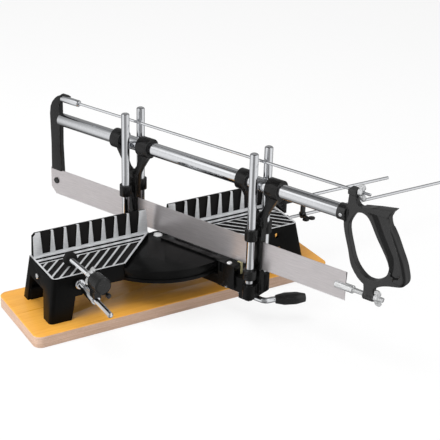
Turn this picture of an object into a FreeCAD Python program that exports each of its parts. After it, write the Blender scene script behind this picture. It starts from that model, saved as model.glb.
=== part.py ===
import FreeCAD, Part
import Sketcher
import math
import os
import re
from FreeCAD import Placement, Rotation, Vector

# Manual mitre saw on a wooden board.
# The origin is on the board's underside, on the axis that the saw arm swings about.
# +X runs along the fence to the right, +Y to the back, +Z up. Sizes are in millimetres and degrees.
# Pieces on the arm are drawn in the saw's own frame: x runs along the cut towards the handle
# (the station), y across it, z up. The frame is then turned to the mitre angle.

sizes = {
    # Board
    "board_length": 484, "board_depth": 143, "board_thickness": 18, "board_rear": 37,
    "board_corner": 12, "board_edge": 1.2,
    # Tables: height, reach from the swing axis, plate and walls
    "table_top": 82, "table_reach": 201, "table_front": 74, "table_plate": 7, "wall_thickness": 5,
    "block_inner": 94, "inner_edge_offset": 16.4, "blade_half_gap": 15.5, "table_corner": 7,
    # Legs and the windows between them
    "leg_flare_side": 10.8, "leg_flare_front": 9.4, "leg_flare_rear": 1.1, "front_leg_width": 31,
    "front_leg_lean": 9,
    "front_window_top": 51, "disc_window_edge": 121, "disc_window_top": 58, "window_corner": 5,
    "end_window_front": 61, "end_window_rear": 2, "end_window_lean": 14, "end_window_top": 56,
    "rear_window_top": 60,
    # Fence and its pockets
    "fence_face": 2.4, "fence_thickness": 8.5, "fence_top": 118, "fence_inset": 3, "fence_lean": 3.3,
    "fence_corner": 4, "fence_taper": 3, "fence_taper_start": 6, "pocket_count": 8, "pocket_margin": 19.5,
    "pocket_first": 38.5,
    "pocket_top_width": 16.6, "pocket_base_width": 11.5, "pocket_depth": 3, "pocket_base": 2.6,
    # Ribbed recess and grooves in the table tops
    "rim_width": 3, "recess_depth": 1.5, "rib_width": 3, "rib_pitch": 16.2, "rib_count": 9,
    "recess_rear": 21.5, "groove_rear": 3.6, "groove_front": 14.4, "groove_width": 4.8,
    # Half disc under the saw
    "disc_radius": 119, "disc_top": 75, "disc_bottom": 54, "disc_plate": 5, "disc_lip_height": 9,
    "disc_groove_depth": 5, "disc_foot_inset": 3, "disc_foot_height": 5, "disc_wall": 6,
    "bridge_height": 13, "hub_radius": 12,
    # Fixings of the castings
    "foot_screw_radius": 2.2, "foot_screw_depth": 14, "foot_screw_front": 71, "foot_screw_rear": 4,
    "foot_screw_inset": 5, "foot_boss_height": 17, "foot_boss_half": 7.5, "foot_head_radius": 4.5,
    "foot_head_height": 3, "foot_head_sink": 4, "disc_screw_radius": 2.5, "disc_screw_head": 4.5,
    "disc_screw_height": 4, "disc_screw_grip": 4.5, "disc_screw_x": 98, "disc_screw_front": 30,
    "bridge_screw_x": 62, "bridge_screw_y": 5.5, "screw_fit": 0.05,
    # Swing pivot
    "pivot_radius": 5, "pivot_head_radius": 6.8, "pivot_head_height": 3.4, "pivot_sink": 2.8,
    "pivot_sink_radius": 8.2, "washer_thickness": 1.6, "washer_radius": 10, "nut_height": 5,
    "nut_radius": 8, "running_fit": 0.05,
    # Saw arm
    "mitre_angle": 22.5, "rear_station": -48.5, "front_station": 182.25, "post_offset": 17,
    "arm_bottom": 37, "arm_beam_top": 52.5, "arm_half_width": 9, "block_setback": 3, "block_length": 12,
    "block_half_width": 11, "block_wide_half": 15.5, "block_wide_length": 20,
    "block_wide_bottom": 42, "block_deck": 75.4, "neck_half_width": 10, "neck_top": 60,
    "flute_setback": 5, "flute_radius": 4.2, "flute_bottom": 60, "boss_radius": 9.4,
    "boss_round": 3, "near_boss_top": 60.6, "boss_top": 67, "boss_floor": 4, "hub_boss_radius": 14,
    "web_half_length": 7, "web_bottom": 43, "web_top": 60, "upright_back": 4, "upright_front": 9.5,
    "upright_half_width": 5.5, "rest_height": 81, "kerf_width": 2.4, "kerf_floor": 78,
    "notch_depth": 5, "notch_outer": 13, "notch_inner": 3, "notch_bottom": 54, "notch_top": 70,
    "lever_lug_half": 7.5, "lever_lug_start": 158, "lever_lug_end": 176, "lever_lug_bottom": 26.5,
    # Kerf plate on the half disc, pointer and small screws of the arm
    "plate_start": 14, "plate_thickness": 2.8, "plate_half_width": 11,
    "disc_gap": 0.4, "kerf_slot_start": 34, "kerf_slot_inset": 7, "deck_screw_ahead": 8.2,
    "deck_screw_offset": 10.6, "deck_screw_radius": 3.8, "deck_screw_height": 2.2,
    "deck_screw_shank": 1.9, "deck_screw_depth": 9, "pointer_offset": 0.6, "pointer_width": 4,
    "pointer_thickness": 0.9, "pointer_drop": 18, "pointer_reach": 6, "side_screw_ahead": 3.6,
    "side_screw_height": 39.4, "side_screw_radius": 2.4, "side_screw_head": 2.2, "side_screw_depth": 5,
    # Posts
    "post_radius": 6, "post_top": 260.5, "post_dome": 1.6, "post_fit": 0.02,
    # Depth stop ring on the near front post
    "stop_ring_bottom": 70, "stop_ring_height": 14.7, "stop_ring_radius": 9.9,
    "ring_screw_radius": 2, "ring_screw_reach": 1.6,
    # Lock lever
    "lever_height": 32.4, "lever_radius": 4.3, "lever_start": 154, "lever_bend": 199,
    "lever_bend_radius": 8, "lever_low": 3, "lever_elbow": 202.5, "lever_elbow_offset": 16.5,
    "lever_tip": 214.8, "lever_tip_offset": 29.6, "grip_length": 44, "grip_radius": 9.2,
    "grip_end_radius": 6.3, "grip_overlap": 15,
    # Guides that run on the posts and carry the tube
    "collar_radius": 9.2, "collar_bottom": 131.3, "collar_top": 148, "fin_top": 162,
    "blade_slot": 1.7, "blade_clearance": 1.6, "bush_radius": 14.7, "far_bush_back": 34,
    "far_bush_front": 17, "near_bush_back": 16, "near_bush_front": 36.3,
    "guide_plate": 9, "neck_back": 7, "neck_front": 12, "neck_height": 160, "vee_bottom": 166.5,
    "vee_station": -2.5, "tube_fit": 0.06,
    "guide_screw_radius": 2.4, "guide_screw_reach": 2.2, "guide_screw_depth": 2.4,
    "guide_screw_low": 134, "guide_screw_high": 153, "guide_screw_station": 2,
    # Saw frame
    "tube_axis": 209.9, "handle_height": 209.3, "tube_radius": 10, "tube_wall": 1.4,
    "tube_start": -194.6, "tube_end": 322,
    "blade_rear": -220, "blade_front": 330, "blade_bottom": 80.4, "blade_top": 124,
    "blade_thickness": 1, "blade_corner": 9, "blade_front_lean": 2.5, "tooth_pitch": 11,
    "tooth_depth": 1.6, "peg_station": -208, "peg_height": 104, "peg_radius": 4,
    "peg_head_radius": 5, "peg_head": 2, "bracket_rear": -214.2, "bracket_front": -194.6,
    "bracket_waist": -195.5, "bracket_thickness": 9, "bracket_bottom": 124.3, "bracket_shoulder": 217,
    "bracket_top": 250.6, "bracket_seat": -191, "bracket_chin": 236.5, "hood_front": -178.5,
    "hood_rise": 6.2, "hood_side": 5.6, "rod_seat_depth": 4, "lug_bottom": 93,
    "lug_thickness": 4.4, "spigot_length": 26, "rod_axis": 244.6, "rod_radius": 2,
    "barrel_radius": 5.2, "barrel_end": -155,
    # Handle
    "handle_station": 320.7, "handle_neck_span": 107.8, "handle_lug_span": 35.3,
    "socket_start": 311.4, "socket_end": 324, "socket_radius": 11.4,
    "handle_plate": 9, "grip_thickness": 18, "grip_round": 5.5, "lug_flange_half": 7,
    "lug_flange_height": 7.6, "lug_flange_start": 324.6, "lug_flange_end": 337.2, "neck_axis": 101.5,
    "neck_radius": 6.4, "neck_start": 358.5, "neck_end": 373.5, "socket_screw_station": 319,
    "socket_screw_radius": 2.6, "socket_screw_reach": 1.6,
    # Blade tension bolt
    "hook_radius": 5.6, "hook_start": 313, "hook_end": 342, "hook_peg_station": 321,
    "hook_peg_radius": 2.5, "bolt_radius": 3.4, "bolt_end": 387, "hook_slot": 1.04,
    # Wing nuts
    "wing_hub_radius": 5, "wing_hub_length": 7, "wing_radius": 5.2, "wing_thickness": 2.4,
    "wing_offset": 8, "wing_lift": 5.4, "thread_fit": 0.05,
    # Work clamp on the left table
    "clamp_inset": 38, "clamp_height": 69, "clamp_rod_radius": 4, "clamp_rod_tip": 179,
    "flange_face": 77.6, "flange_radius": 7.5, "flange_height": 4, "clamp_nut_height": 4,
    "clamp_nut_radius": 6.8, "sleeve_rear": 97, "sleeve_front": 131, "sleeve_radius": 6.8,
    "head_radius": 12, "head_rear": 84, "head_front": 110, "head_wall": 4, "bore_lead": 20,
    "stem_rear": 122, "stem_front": 137, "stem_half_width": 5, "stem_bottom": 72.5,
    "spindle_tilt": 4.5, "foot_y": 47, "foot_z": 93.6, "clamp_foot_radius": 10.3,
    "clamp_foot_thickness": 7, "spindle_radius": 3.7, "spindle_length": 103, "clamp_wing_at": 61.5,
    "lock_screw_offset": 8, "lock_screw_height": 85.5, "lock_screw_radius": 2.3,
    "lock_boss_radius": 5.8, "lock_boss_front": 140, "lock_screw_sink": 8, "lock_screw_tip": 157,
    "lock_knob_radius": 3.4, "lock_knob_length": 5.5,
    # Length stop on the right
    "stop_y": -25, "stop_rod_height": 66, "stop_rod_radius": 2.5, "stop_rod_inset": 9,
    "stop_rod_end": 530, "rod_collar_radius": 5, "rod_collar_length": 5, "link_gap": 43.5,
    "link_width": 6.5, "link_depth": 8, "link_radius": 5.6, "upper_rod_height": 97,
    "upper_rod_end": 410, "stop_plate_gap": 2.5, "stop_plate_thickness": 4,
    "stop_plate_rear": 8, "stop_plate_front": 34, "stop_plate_bottom": 80.5, "stop_plate_top": 111,
    "stop_boss_radius": 5.5, "stop_boss_length": 18, "link_screw_radius": 2.4,
    "link_screw_reach": 12, "plug_radius": 2.4, "plug_head_radius": 4, "plug_head": 2,
}

doc = FreeCAD.newDocument("ManualMitreSaw")
sheet = doc.addObject("Spreadsheet::Sheet", "Sizes")
for row, (alias, number) in enumerate(sizes.items(), 1):
    sheet.set("A%d" % row, alias)
    sheet.set("B%d" % row, str(number))
    sheet.setAlias("B%d" % row, alias)

# Sizes that follow from others
followers = {
    "foot_screw_x": "table_reach - foot_screw_inset",
    "fence_end": "table_reach - fence_inset",
    "front_leg_inner": "table_reach - front_leg_width",
    "pocket_pitch": "(table_reach - fence_inset - pocket_first - pocket_margin) / (pocket_count - 1)",
    "clamp_x": "table_reach - clamp_inset",
    "lock_screw_x": "table_reach - clamp_inset - lock_screw_offset",
    "stop_rod_start": "table_reach - stop_rod_inset",
    "stop_plate_x": "table_reach + stop_plate_gap",
    "link_x": "table_reach + link_gap",
    "block_start": "disc_radius + block_setback",
    "block_shoulder": "disc_radius + block_setback + block_length",
    "block_end": "disc_radius + block_setback + block_length + block_wide_length",
    "flute_station": "disc_radius + block_setback + block_length - flute_setback",
    "deck_screw_station": "disc_radius + block_setback + block_length + deck_screw_ahead",
    "side_screw_station": "disc_radius + block_setback + block_length + side_screw_ahead",
    "kerf_slot_end": "disc_radius - kerf_slot_inset",
}
for row, (alias, formula) in enumerate(followers.items(), len(sizes) + 2):
    sheet.set("A%d" % row, alias)
    sheet.set("B%d" % row, "=" + formula)
    sheet.setAlias("B%d" % row, alias)
doc.recompute()

nodes = []
turns = {
    "z": Rotation(),
    "-z": Rotation(Vector(1, 0, 0), 180),
    "x": Rotation(Vector(0, 1, 0), 90),
    "-x": Rotation(Vector(0, 1, 0), -90),
    "y": Rotation(Vector(1, 0, 0), -90),
    "-y": Rotation(Vector(1, 0, 0), 90),
}
planes = {
    "xy": Rotation(),
    "xz": Rotation(Vector(1, 0, 0), 90),
    "yz": Rotation(Vector(1, 1, 1), 120),
}


def size(alias):
    return float(sheet.get(alias))


saw_turn = Rotation(Vector(0, 0, 1), size("mitre_angle") - 90)


def linked(text):
    return re.sub(r"\b([a-z]+(?:_[a-z]+)+)\b", r"Sizes.\1", str(text))


def bind(piece, prop, text):
    piece.setExpression(prop, linked(text))


def bind_base(piece, spot):
    for axis, text in zip("xyz", spot):
        bind(piece, "Placement.Base." + axis, text)


# Primitives, drawn from expressions of the sizes

def box(name, low, high):
    piece = doc.addObject("Part::Box", name)
    for side, start, end in zip(("Length", "Width", "Height"), low, high):
        bind(piece, side, "(%s) - (%s)" % (end, start))
    bind_base(piece, low)
    return piece


def rod(name, radius, spot, length, direction="z"):
    piece = doc.addObject("Part::Cylinder", name)
    piece.Placement = Placement(Vector(), turns[direction])
    bind(piece, "Radius", radius)
    bind(piece, "Height", length)
    bind_base(piece, spot)
    return piece


def cone(name, radius, top_radius, spot, length, direction="z"):
    piece = doc.addObject("Part::Cone", name)
    piece.Placement = Placement(Vector(), turns[direction])
    bind(piece, "Radius1", radius)
    bind(piece, "Radius2", top_radius)
    bind(piece, "Height", length)
    bind_base(piece, spot)
    return piece


def frustum(name, base, top, z_low, z_high):
    # base and top each hold the low x, high x, low y and high y of a rectangle
    piece = doc.addObject("Part::Wedge", name)
    piece.Placement = Placement(Vector(), planes["xz"])
    bind(piece, "Xmin", base[0])
    bind(piece, "Xmax", base[1])
    bind(piece, "Zmin", "-(%s)" % base[3])
    bind(piece, "Zmax", "-(%s)" % base[2])
    bind(piece, "X2min", top[0])
    bind(piece, "X2max", top[1])
    bind(piece, "Z2min", "-(%s)" % top[3])
    bind(piece, "Z2max", "-(%s)" % top[2])
    bind(piece, "Ymin", z_low)
    bind(piece, "Ymax", z_high)
    return piece


def draw_outline(sketch, points):
    # straight lines through the points, each point held at its two expressions
    count = len(points)
    spots = []
    for index in range(count):
        angle = 2 * math.pi * index / count
        spots.append(Vector(20 * math.cos(angle), 20 * math.sin(angle), 0))
    first = sketch.GeometryCount
    for index in range(count):
        sketch.addGeometry(Part.LineSegment(spots[index], spots[(index + 1) % count]), False)
    for index in range(count):
        after = first + (index + 1) % count
        sketch.addConstraint(Sketcher.Constraint("Coincident", first + index, 2, after, 1))
    for index, (across, up) in enumerate(points):
        for kind, text, now in (("DistanceX", across, spots[index].x), ("DistanceY", up, spots[index].y)):
            held = sketch.addConstraint(Sketcher.Constraint(kind, first + index, 1, now))
            bind(sketch, "Constraints[%d]" % held, text)


def prism(name, plane, points, start, end):
    # a straight-sided outline carried from start to end along the third axis
    outline = doc.addObject("Sketcher::SketchObject", name + "_outline")
    draw_outline(outline, points)
    outline.Placement = Placement(Vector(), planes[plane])
    third = {"xy": "z", "xz": "y", "yz": "x"}[plane]
    bind(outline, "Placement.Base." + third, start)
    piece = doc.addObject("Part::Extrusion", name)
    piece.Base = outline
    piece.DirMode = "Custom"
    piece.Dir = {"z": Vector(0, 0, 1), "y": Vector(0, 1, 0), "x": Vector(1, 0, 0)}[third]
    piece.Solid = True
    bind(piece, "LengthFwd", "(%s) - (%s)" % (end, start))
    return piece


def fuse(name, pieces):
    joined = doc.addObject("Part::MultiFuse", name)
    joined.Shapes = pieces
    joined.Refine = True
    return joined


def common(name, first, second):
    shared = doc.addObject("Part::Common", name)
    shared.Base = first
    shared.Tool = second
    return shared


def cut(name, base, tools):
    tool = tools[0] if len(tools) == 1 else fuse(name + "_tools", tools)
    left = doc.addObject("Part::Cut", name)
    left.Base = base
    left.Tool = tool
    left.Refine = True
    return left


def rounded(name, base, radius, wanted):
    # fillet of every edge for which wanted(edge) holds
    doc.recompute()
    piece = doc.addObject("Part::Fillet", name)
    piece.Base = base
    amount = size(radius)
    chosen = []
    for index, edge in enumerate(base.Shape.Edges, 1):
        if wanted(edge):
            chosen.append((index, amount, amount))
    piece.Edges = chosen
    return piece


def node(piece, label, spot=None, direction=None, saw=False):
    # the finished sub-part: its name, and its place in the whole
    piece.Label = label
    turn = turns[direction] if direction else Rotation()
    if saw:
        turn = saw_turn.multiply(turn)
    if direction or saw:
        piece.Placement = Placement(piece.Placement.Base, turn)
    if spot and saw:
        station, across, height = spot
        bind(piece, "Placement.Base.x",
             "(%s) * sin(mitre_angle) + (%s) * cos(mitre_angle)" % (station, across))
        bind(piece, "Placement.Base.y",
             "(%s) * sin(mitre_angle) - (%s) * cos(mitre_angle)" % (across, station))
        bind(piece, "Placement.Base.z", height)
    elif spot:
        bind_base(piece, spot)
    nodes.append(piece)
    return piece


# Bodies with sketched features

def new_body(name):
    return doc.addObject("PartDesign::Body", name + "_body")


def body_sketch(body, plane, offset="0"):
    sketch = body.newObject("Sketcher::SketchObject", body.Name + "_sketch")
    for origin_plane in body.Origin.OriginFeatures:
        if origin_plane.Role == plane:
            sketch.AttachmentSupport = [(origin_plane, "")]
    sketch.MapMode = "FlatFace"
    bind(sketch, "AttachmentOffset.Base.z", offset)
    return sketch


def add_circle(sketch, across, up, radius):
    index = sketch.addGeometry(Part.Circle(Vector(1, 1, 0), Vector(0, 0, 1), 1), False)
    for kind, text in (("DistanceX", across), ("DistanceY", up)):
        held = sketch.addConstraint(Sketcher.Constraint(kind, index, 3, 1.0))
        bind(sketch, "Constraints[%d]" % held, text)
    held = sketch.addConstraint(Sketcher.Constraint("Radius", index, 1.0))
    bind(sketch, "Constraints[%d]" % held, radius)


def pad(body, sketch, length):
    feature = body.newObject("PartDesign::Pad", body.Name + "_pad")
    feature.Profile = sketch
    bind(feature, "Length", length)
    sketch.Visibility = False
    return feature


def pocket(body, sketch, length, reversed_side=False):
    doc.recompute()
    before = body.Shape.Volume
    feature = body.newObject("PartDesign::Pocket", body.Name + "_pocket")
    feature.Profile = sketch
    feature.Reversed = reversed_side
    bind(feature, "Length", length)
    doc.recompute()
    if not feature.Shape.Volume < before - 0.01:
        raise RuntimeError(body.Name + ": the pocket cuts nothing")
    return feature


def lathe(name, profile):
    # solid of revolution about its own Z axis, from points of radius and height
    body = new_body(name)
    sketch = body_sketch(body, "XZ_Plane")
    draw_outline(sketch, profile)
    feature = body.newObject("PartDesign::Revolution", name + "_turn")
    feature.Profile = sketch
    feature.ReferenceAxis = (sketch, ["V_Axis"])
    feature.Angle = 360
    return body


def along_z(edge):
    ends = [vertex.Point for vertex in edge.Vertexes]
    return len(ends) == 2 and abs(ends[0].x - ends[1].x) < 1e-6 and abs(ends[0].y - ends[1].y) < 1e-6


def wing_nut(name, bore):
    # a threaded hub along +Z with two thin round wings that lean away from it
    hub = cone(name + "_hub", "wing_hub_radius", "wing_hub_radius * 0.8", ("0", "0", "0"), "wing_hub_length")
    parts = [hub]
    for side, sign in (("upper", "1"), ("lower", "-1")):
        parts.append(rod(name + "_" + side + "_wing", "wing_radius",
                         ("%s * wing_offset" % sign, "wing_thickness / 2", "wing_lift"),
                         "wing_thickness", "-y"))
    whole = fuse(name + "_whole", parts)
    hole = rod(name + "_bore", "%s + thread_fit" % bore, ("0", "0", "-wing_radius"), "wing_radius * 4")
    low = box(name + "_seat", ("-wing_offset * 3", "-wing_radius", "-wing_radius * 2"),
              ("wing_offset * 3", "wing_radius", "0"))
    return cut(name, whole, [hole, low])


# Board: wood, with counterbored holes for the screws that hold the castings

foot_x = "foot_screw_x"
foot_rows = ("-foot_screw_front", "foot_screw_rear")
board = new_body("board")
board_sketch = body_sketch(board, "XY_Plane")
draw_outline(board_sketch, [
    ("-board_length / 2", "board_rear - board_depth"), ("board_length / 2", "board_rear - board_depth"),
    ("board_length / 2", "board_rear"), ("-board_length / 2", "board_rear")])
blank = pad(board, board_sketch, "board_thickness")
doc.recompute()
corners = board.newObject("PartDesign::Fillet", "board_corners")
corner_edges = ["Edge%d" % i for i, edge in enumerate(blank.Shape.Edges, 1) if along_z(edge)]
corners.Base = (blank, corner_edges)
bind(corners, "Radius", "board_corner")
doc.recompute()
rims = board.newObject("PartDesign::Chamfer", "board_edges")
rim_edges = []
for i, edge in enumerate(corners.Shape.Edges, 1):
    if all(vertex.Z > size("board_thickness") - 1e-6 for vertex in edge.Vertexes):
        rim_edges.append("Edge%d" % i)
rims.Base = (corners, rim_edges)
bind(rims, "Size", "board_edge")
for radius, depth in (("foot_screw_radius + screw_fit", "board_thickness"),
                      ("foot_head_radius + 1", "foot_head_sink")):
    holes = body_sketch(board, "XY_Plane")
    for sign in ("", "-"):
        for row_y in foot_rows:
            add_circle(holes, sign + foot_x, row_y, radius)
    pocket(board, holes, depth, True)
node(board, "base_board")

# Screws through the board into the legs, in one group

foot_screws = []
for side, sign in (("right", ""), ("left", "-")):
    for row_name, row_y in zip(("front", "rear"), foot_rows):
        tag = "foot_screw_%s_%s" % (side, row_name)
        head = rod(tag + "_head", "foot_head_radius",
                   (sign + foot_x, row_y, "foot_head_sink - foot_head_height"), "foot_head_height")
        shank = rod(tag + "_shank", "foot_screw_radius", (sign + foot_x, row_y, "foot_head_sink"),
                    "board_thickness - foot_head_sink + foot_screw_depth")
        foot_screws.append(fuse(tag, [head, shank]))
screw_group = doc.addObject("Part::Compound", "foot_screws")
screw_group.Links = foot_screws
node(screw_group, "board_screws")

# Table casting: table, fence, skirt and legs of the right side; the left one is its mirror image

table_rear = "(fence_face + fence_thickness)"
foot_side = "(table_reach + leg_flare_side)"
foot_front = "(table_front + leg_flare_front)"
foot_rear = "(%s + leg_flare_rear)" % table_rear
plate_share = "(table_plate / (table_top - board_thickness))"
shell = frustum("table_shell",
                ("block_inner", foot_side, "-" + foot_front, foot_rear),
                ("block_inner", "table_reach", "-table_front", table_rear),
                "board_thickness", "table_top")
shell = rounded("table_shell_rounded", shell, "table_corner", lambda edge:
                min(v.X for v in edge.Vertexes) > size("table_reach") - 1 and
                max(v.Y for v in edge.Vertexes) < -size("table_front") + 1 and
                max(v.Z for v in edge.Vertexes) - min(v.Z for v in edge.Vertexes) > 1)
hollow = frustum("table_hollow",
                 ("block_inner - 1", foot_side + " - wall_thickness",
                  "-%s + wall_thickness" % foot_front, foot_rear + " - wall_thickness"),
                 ("block_inner - 1",
                  "table_reach + leg_flare_side * %s - wall_thickness" % plate_share,
                  "-(table_front + leg_flare_front * %s) + wall_thickness" % plate_share,
                  "%s + leg_flare_rear * %s - wall_thickness" % (table_rear, plate_share)),
                 "board_thickness", "table_top - table_plate")
front_window = prism("front_window", "xz", [
    ("block_inner - 1", "board_thickness - 1"), ("front_leg_inner + front_leg_lean", "board_thickness - 1"),
    ("front_leg_inner", "front_window_top"), ("disc_window_edge + 5", "front_window_top"),
    ("disc_window_edge", "disc_window_top"), ("block_inner - 1", "disc_window_top")],
    "-%s - 1" % foot_front, "-table_front + 2 * wall_thickness")
end_window = prism("end_window", "yz", [
    ("-end_window_front", "board_thickness - 1"),
    ("-end_window_rear", "board_thickness - 1"),
    ("-end_window_rear + 3", "end_window_top"),
    ("-end_window_front + end_window_lean", "end_window_top")],
    "table_reach - 2 * wall_thickness", foot_side + " + 1")
rear_window = prism("rear_window", "xz", [
    ("block_inner - 1", "board_thickness - 1"), ("front_leg_inner + 5", "board_thickness - 1"),
    ("front_leg_inner + 5", "rear_window_top"), ("block_inner - 1", "rear_window_top")],
    "%s - 2 * wall_thickness" % table_rear, foot_rear + " + 1")
walls = cut("table_walls", shell, [hollow, front_window, end_window, rear_window])
inner_plate = prism("table_inner_plate", "xy", [
    ("block_inner + 2", "-table_front"), ("inner_edge_offset + table_front", "-table_front"),
    ("blade_half_gap", "inner_edge_offset - blade_half_gap"), ("blade_half_gap", table_rear),
    ("block_inner + 2", table_rear)],
    "table_top - table_plate", "table_top")
fence = prism("fence_plate", "xz", [
    ("blade_half_gap", "table_top - table_plate"), ("fence_end", "table_top - table_plate"),
    ("fence_end", "fence_top - fence_corner"), ("fence_end - fence_corner", "fence_top"),
    ("blade_half_gap + fence_lean", "fence_top")],
    "fence_face", table_rear)
fence_back = prism("fence_back", "yz", [
    (table_rear, "table_top + fence_taper_start"), (table_rear + " + 1", "table_top + fence_taper_start"),
    (table_rear + " + 1", "fence_top + 1"), (table_rear + " - fence_taper", "fence_top + 1")],
    "blade_half_gap - 1", "fence_end + 1")
bosses = []
for row_name, low_y, high_y in (("front", "-foot_screw_front - foot_boss_half",
                                 "-foot_screw_front + foot_boss_half"),
                                ("rear", "foot_screw_rear - foot_boss_half", "%s" % table_rear)):
    bosses.append(box("foot_boss_" + row_name,
                      ("foot_screw_x - foot_boss_half", low_y, "board_thickness"),
                      (foot_side + " - wall_thickness", high_y, "board_thickness + foot_boss_height")))
casting = fuse("table_blank", [walls, inner_plate, fence] + bosses)

# Tapered pockets in the fence, open at its top edge

cutters = [fence_back]
for index in range(int(size("pocket_count"))):
    middle = "(pocket_first + %d * pocket_pitch)" % index
    low_y = "fence_face - 1"
    high_y = "fence_face + pocket_depth"
    cutters.append(frustum("fence_pocket_%d" % (index + 1),
                           (middle + " - pocket_base_width / 2", middle + " + pocket_base_width / 2", low_y,
                            high_y),
                           (middle + " - pocket_top_width / 2", middle + " + pocket_top_width / 2", low_y,
                            high_y),
                           "table_top + pocket_base", "fence_top + 0.5"))

# Ribbed recess and two grooves in the table top; the ribs run with the inner edge

edge_run = "(inner_edge_offset + rim_width * sqrt(2))"
outer_rim = "(fence_end)"


def table_strip(name, rear, front):
    return prism(name, "xy", [
        (outer_rim, "-(%s)" % rear), (outer_rim, "-(%s)" % front),
        ("%s + (%s)" % (edge_run, front), "-(%s)" % front),
        ("%s + (%s)" % (edge_run, rear), "-(%s)" % rear)],
        "table_top - recess_depth", "table_top + 1")


recess = table_strip("table_recess", "recess_rear", "table_front - rim_width")
ribs = []
half_rib = "(rib_width * sqrt(2) / 2)"
for index in range(1, int(size("rib_count")) + 1):
    run = "(%s + %d * rib_pitch)" % (edge_run, index)
    corners_of_rib = []
    for sign, depth in (("-", "table_front"), ("+", "table_front"), ("+", "recess_rear - 1"),
                        ("-", "recess_rear - 1")):
        corners_of_rib.append(("%s + (%s) %s %s" % (run, depth, sign, half_rib), "-(%s)" % depth))
    ribs.append(prism("table_rib_%d" % index, "xy", corners_of_rib,
                      "table_top - recess_depth - 1", "table_top + 2"))
cutters.append(cut("table_slots", recess, ribs))
cutters.append(table_strip("rear_groove", "groove_rear", "groove_rear + groove_width"))
cutters.append(table_strip("front_groove", "groove_front", "groove_front + groove_width"))
cutters.append(rod("clamp_hole", "clamp_rod_radius + thread_fit",
                   ("clamp_x", "-table_front + 2 * wall_thickness", "clamp_height"),
                   "leg_flare_front + 3 * wall_thickness", "-y"))
cutters.append(rod("stop_hole", "stop_rod_radius + running_fit",
                   ("table_reach - 2 * wall_thickness", "stop_y", "stop_rod_height"),
                   "leg_flare_side + 3 * wall_thickness", "x"))
for row_name, row_y in zip(("front", "rear"), foot_rows):
    cutters.append(rod("foot_thread_" + row_name, "foot_screw_radius + screw_fit",
                       (foot_x, row_y, "board_thickness - 1"),
                       "foot_screw_depth + 1"))
disc_space = rod("disc_space", "disc_radius + disc_gap", ("0", "0", "disc_bottom - 1"),
                 "disc_top - disc_bottom + 1")
front_half = box("disc_front_half", ("block_inner - 2", "-disc_radius", "disc_bottom - 1"),
                 ("disc_radius + 2", "-disc_radius / 3", "disc_top"))
cutters.append(common("disc_room", disc_space, front_half))
disc_screw_spots = (("disc_screw_x", "-disc_screw_front"), ("bridge_screw_x", "bridge_screw_y"))
for index, (spot_x, spot_y) in enumerate(disc_screw_spots, 1):
    cutters.append(rod("disc_thread_%d" % index, "disc_screw_radius + screw_fit",
                       (spot_x, spot_y, "disc_top - 1"), "disc_screw_grip + 1"))
right_table = cut("right_table", casting, cutters)
node(right_table, "right_table_casting")
left_table = doc.addObject("Part::Mirroring", "left_table")
left_table.Source = right_table
left_table.Normal = Vector(1, 0, 0)
left_table.Base = Vector(0, 0, 0)
node(left_table, "left_table_casting")

# Half disc: stepped rim, hub at the swing axis and a bridge that joins the two tables behind it

disc = new_body("disc")
disc_sketch = body_sketch(disc, "XZ_Plane")
lip_bottom = "disc_top - disc_lip_height"
groove_radius = "disc_radius - disc_groove_depth"
foot_radius = "disc_radius - disc_foot_inset"
foot_top = "disc_bottom + disc_foot_height"
inner_radius = "disc_radius - disc_groove_depth - disc_wall"
draw_outline(disc_sketch, [
    ("0", "disc_bottom"), ("hub_radius", "disc_bottom"), ("hub_radius", "disc_top - disc_plate"),
    (inner_radius, "disc_top - disc_plate"), (inner_radius, "disc_bottom"),
    (foot_radius, "disc_bottom"), (foot_radius, foot_top), (groove_radius, foot_top),
    (groove_radius, lip_bottom), ("disc_radius", lip_bottom), ("disc_radius", "disc_top"), ("0", "disc_top")])
disc_turn = disc.newObject("PartDesign::Revolution", "disc_turn")
disc_turn.Profile = disc_sketch
disc_turn.ReferenceAxis = (disc_sketch, ["V_Axis"])
disc_turn.Angle = 180
doc.recompute()
if disc.Shape.CenterOfMass.y > 0:
    disc_turn.Reversed = True
    doc.recompute()
bridge = box("disc_bridge", ("-block_inner + 0.4", "-wall_thickness", "disc_top - bridge_height"),
             ("block_inner - 0.4", table_rear, "disc_top"))
hub = rod("disc_hub", "hub_radius", ("0", "0", "disc_bottom"), "disc_top - disc_bottom")
disc_cutters = [
    rod("pivot_bore", "pivot_radius + screw_fit", ("0", "0", "disc_bottom - 1"),
        "disc_top - disc_bottom + 2"),
    rod("pivot_sinking", "pivot_sink_radius", ("0", "0", "disc_top - pivot_sink"), "pivot_sink + 1"),
]
disc_screw_pieces = []
for side, sign in (("right", ""), ("left", "-")):
    for index, (spot_x, spot_y) in enumerate(disc_screw_spots, 1):
        tag = "disc_screw_%s_%d" % (side, index)
        under = "disc_top - disc_plate" if index == 1 else "disc_top - bridge_height"
        disc_cutters.append(rod(tag + "_hole", "disc_screw_radius + screw_fit",
                                (sign + spot_x, spot_y, under + " - 1"),
                                "bridge_height + 2"))
        head = rod(tag + "_head", "disc_screw_head", (sign + spot_x, spot_y, under + " - disc_screw_height"),
                   "disc_screw_height")
        shank = rod(tag + "_shank", "disc_screw_radius", (sign + spot_x, spot_y, under),
                    "disc_top - (%s) + disc_screw_grip" % under)
        disc_screw_pieces.append(fuse(tag, [head, shank]))
disc_casting = cut("half_disc", fuse("half_disc_blank", [disc, bridge, hub]), disc_cutters)
node(disc_casting, "half_disc_casting")
disc_screws = doc.addObject("Part::Compound", "disc_screws_group")
disc_screws.Links = disc_screw_pieces
node(disc_screws, "disc_screws")

# Pivot bolt, washer and nut

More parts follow.
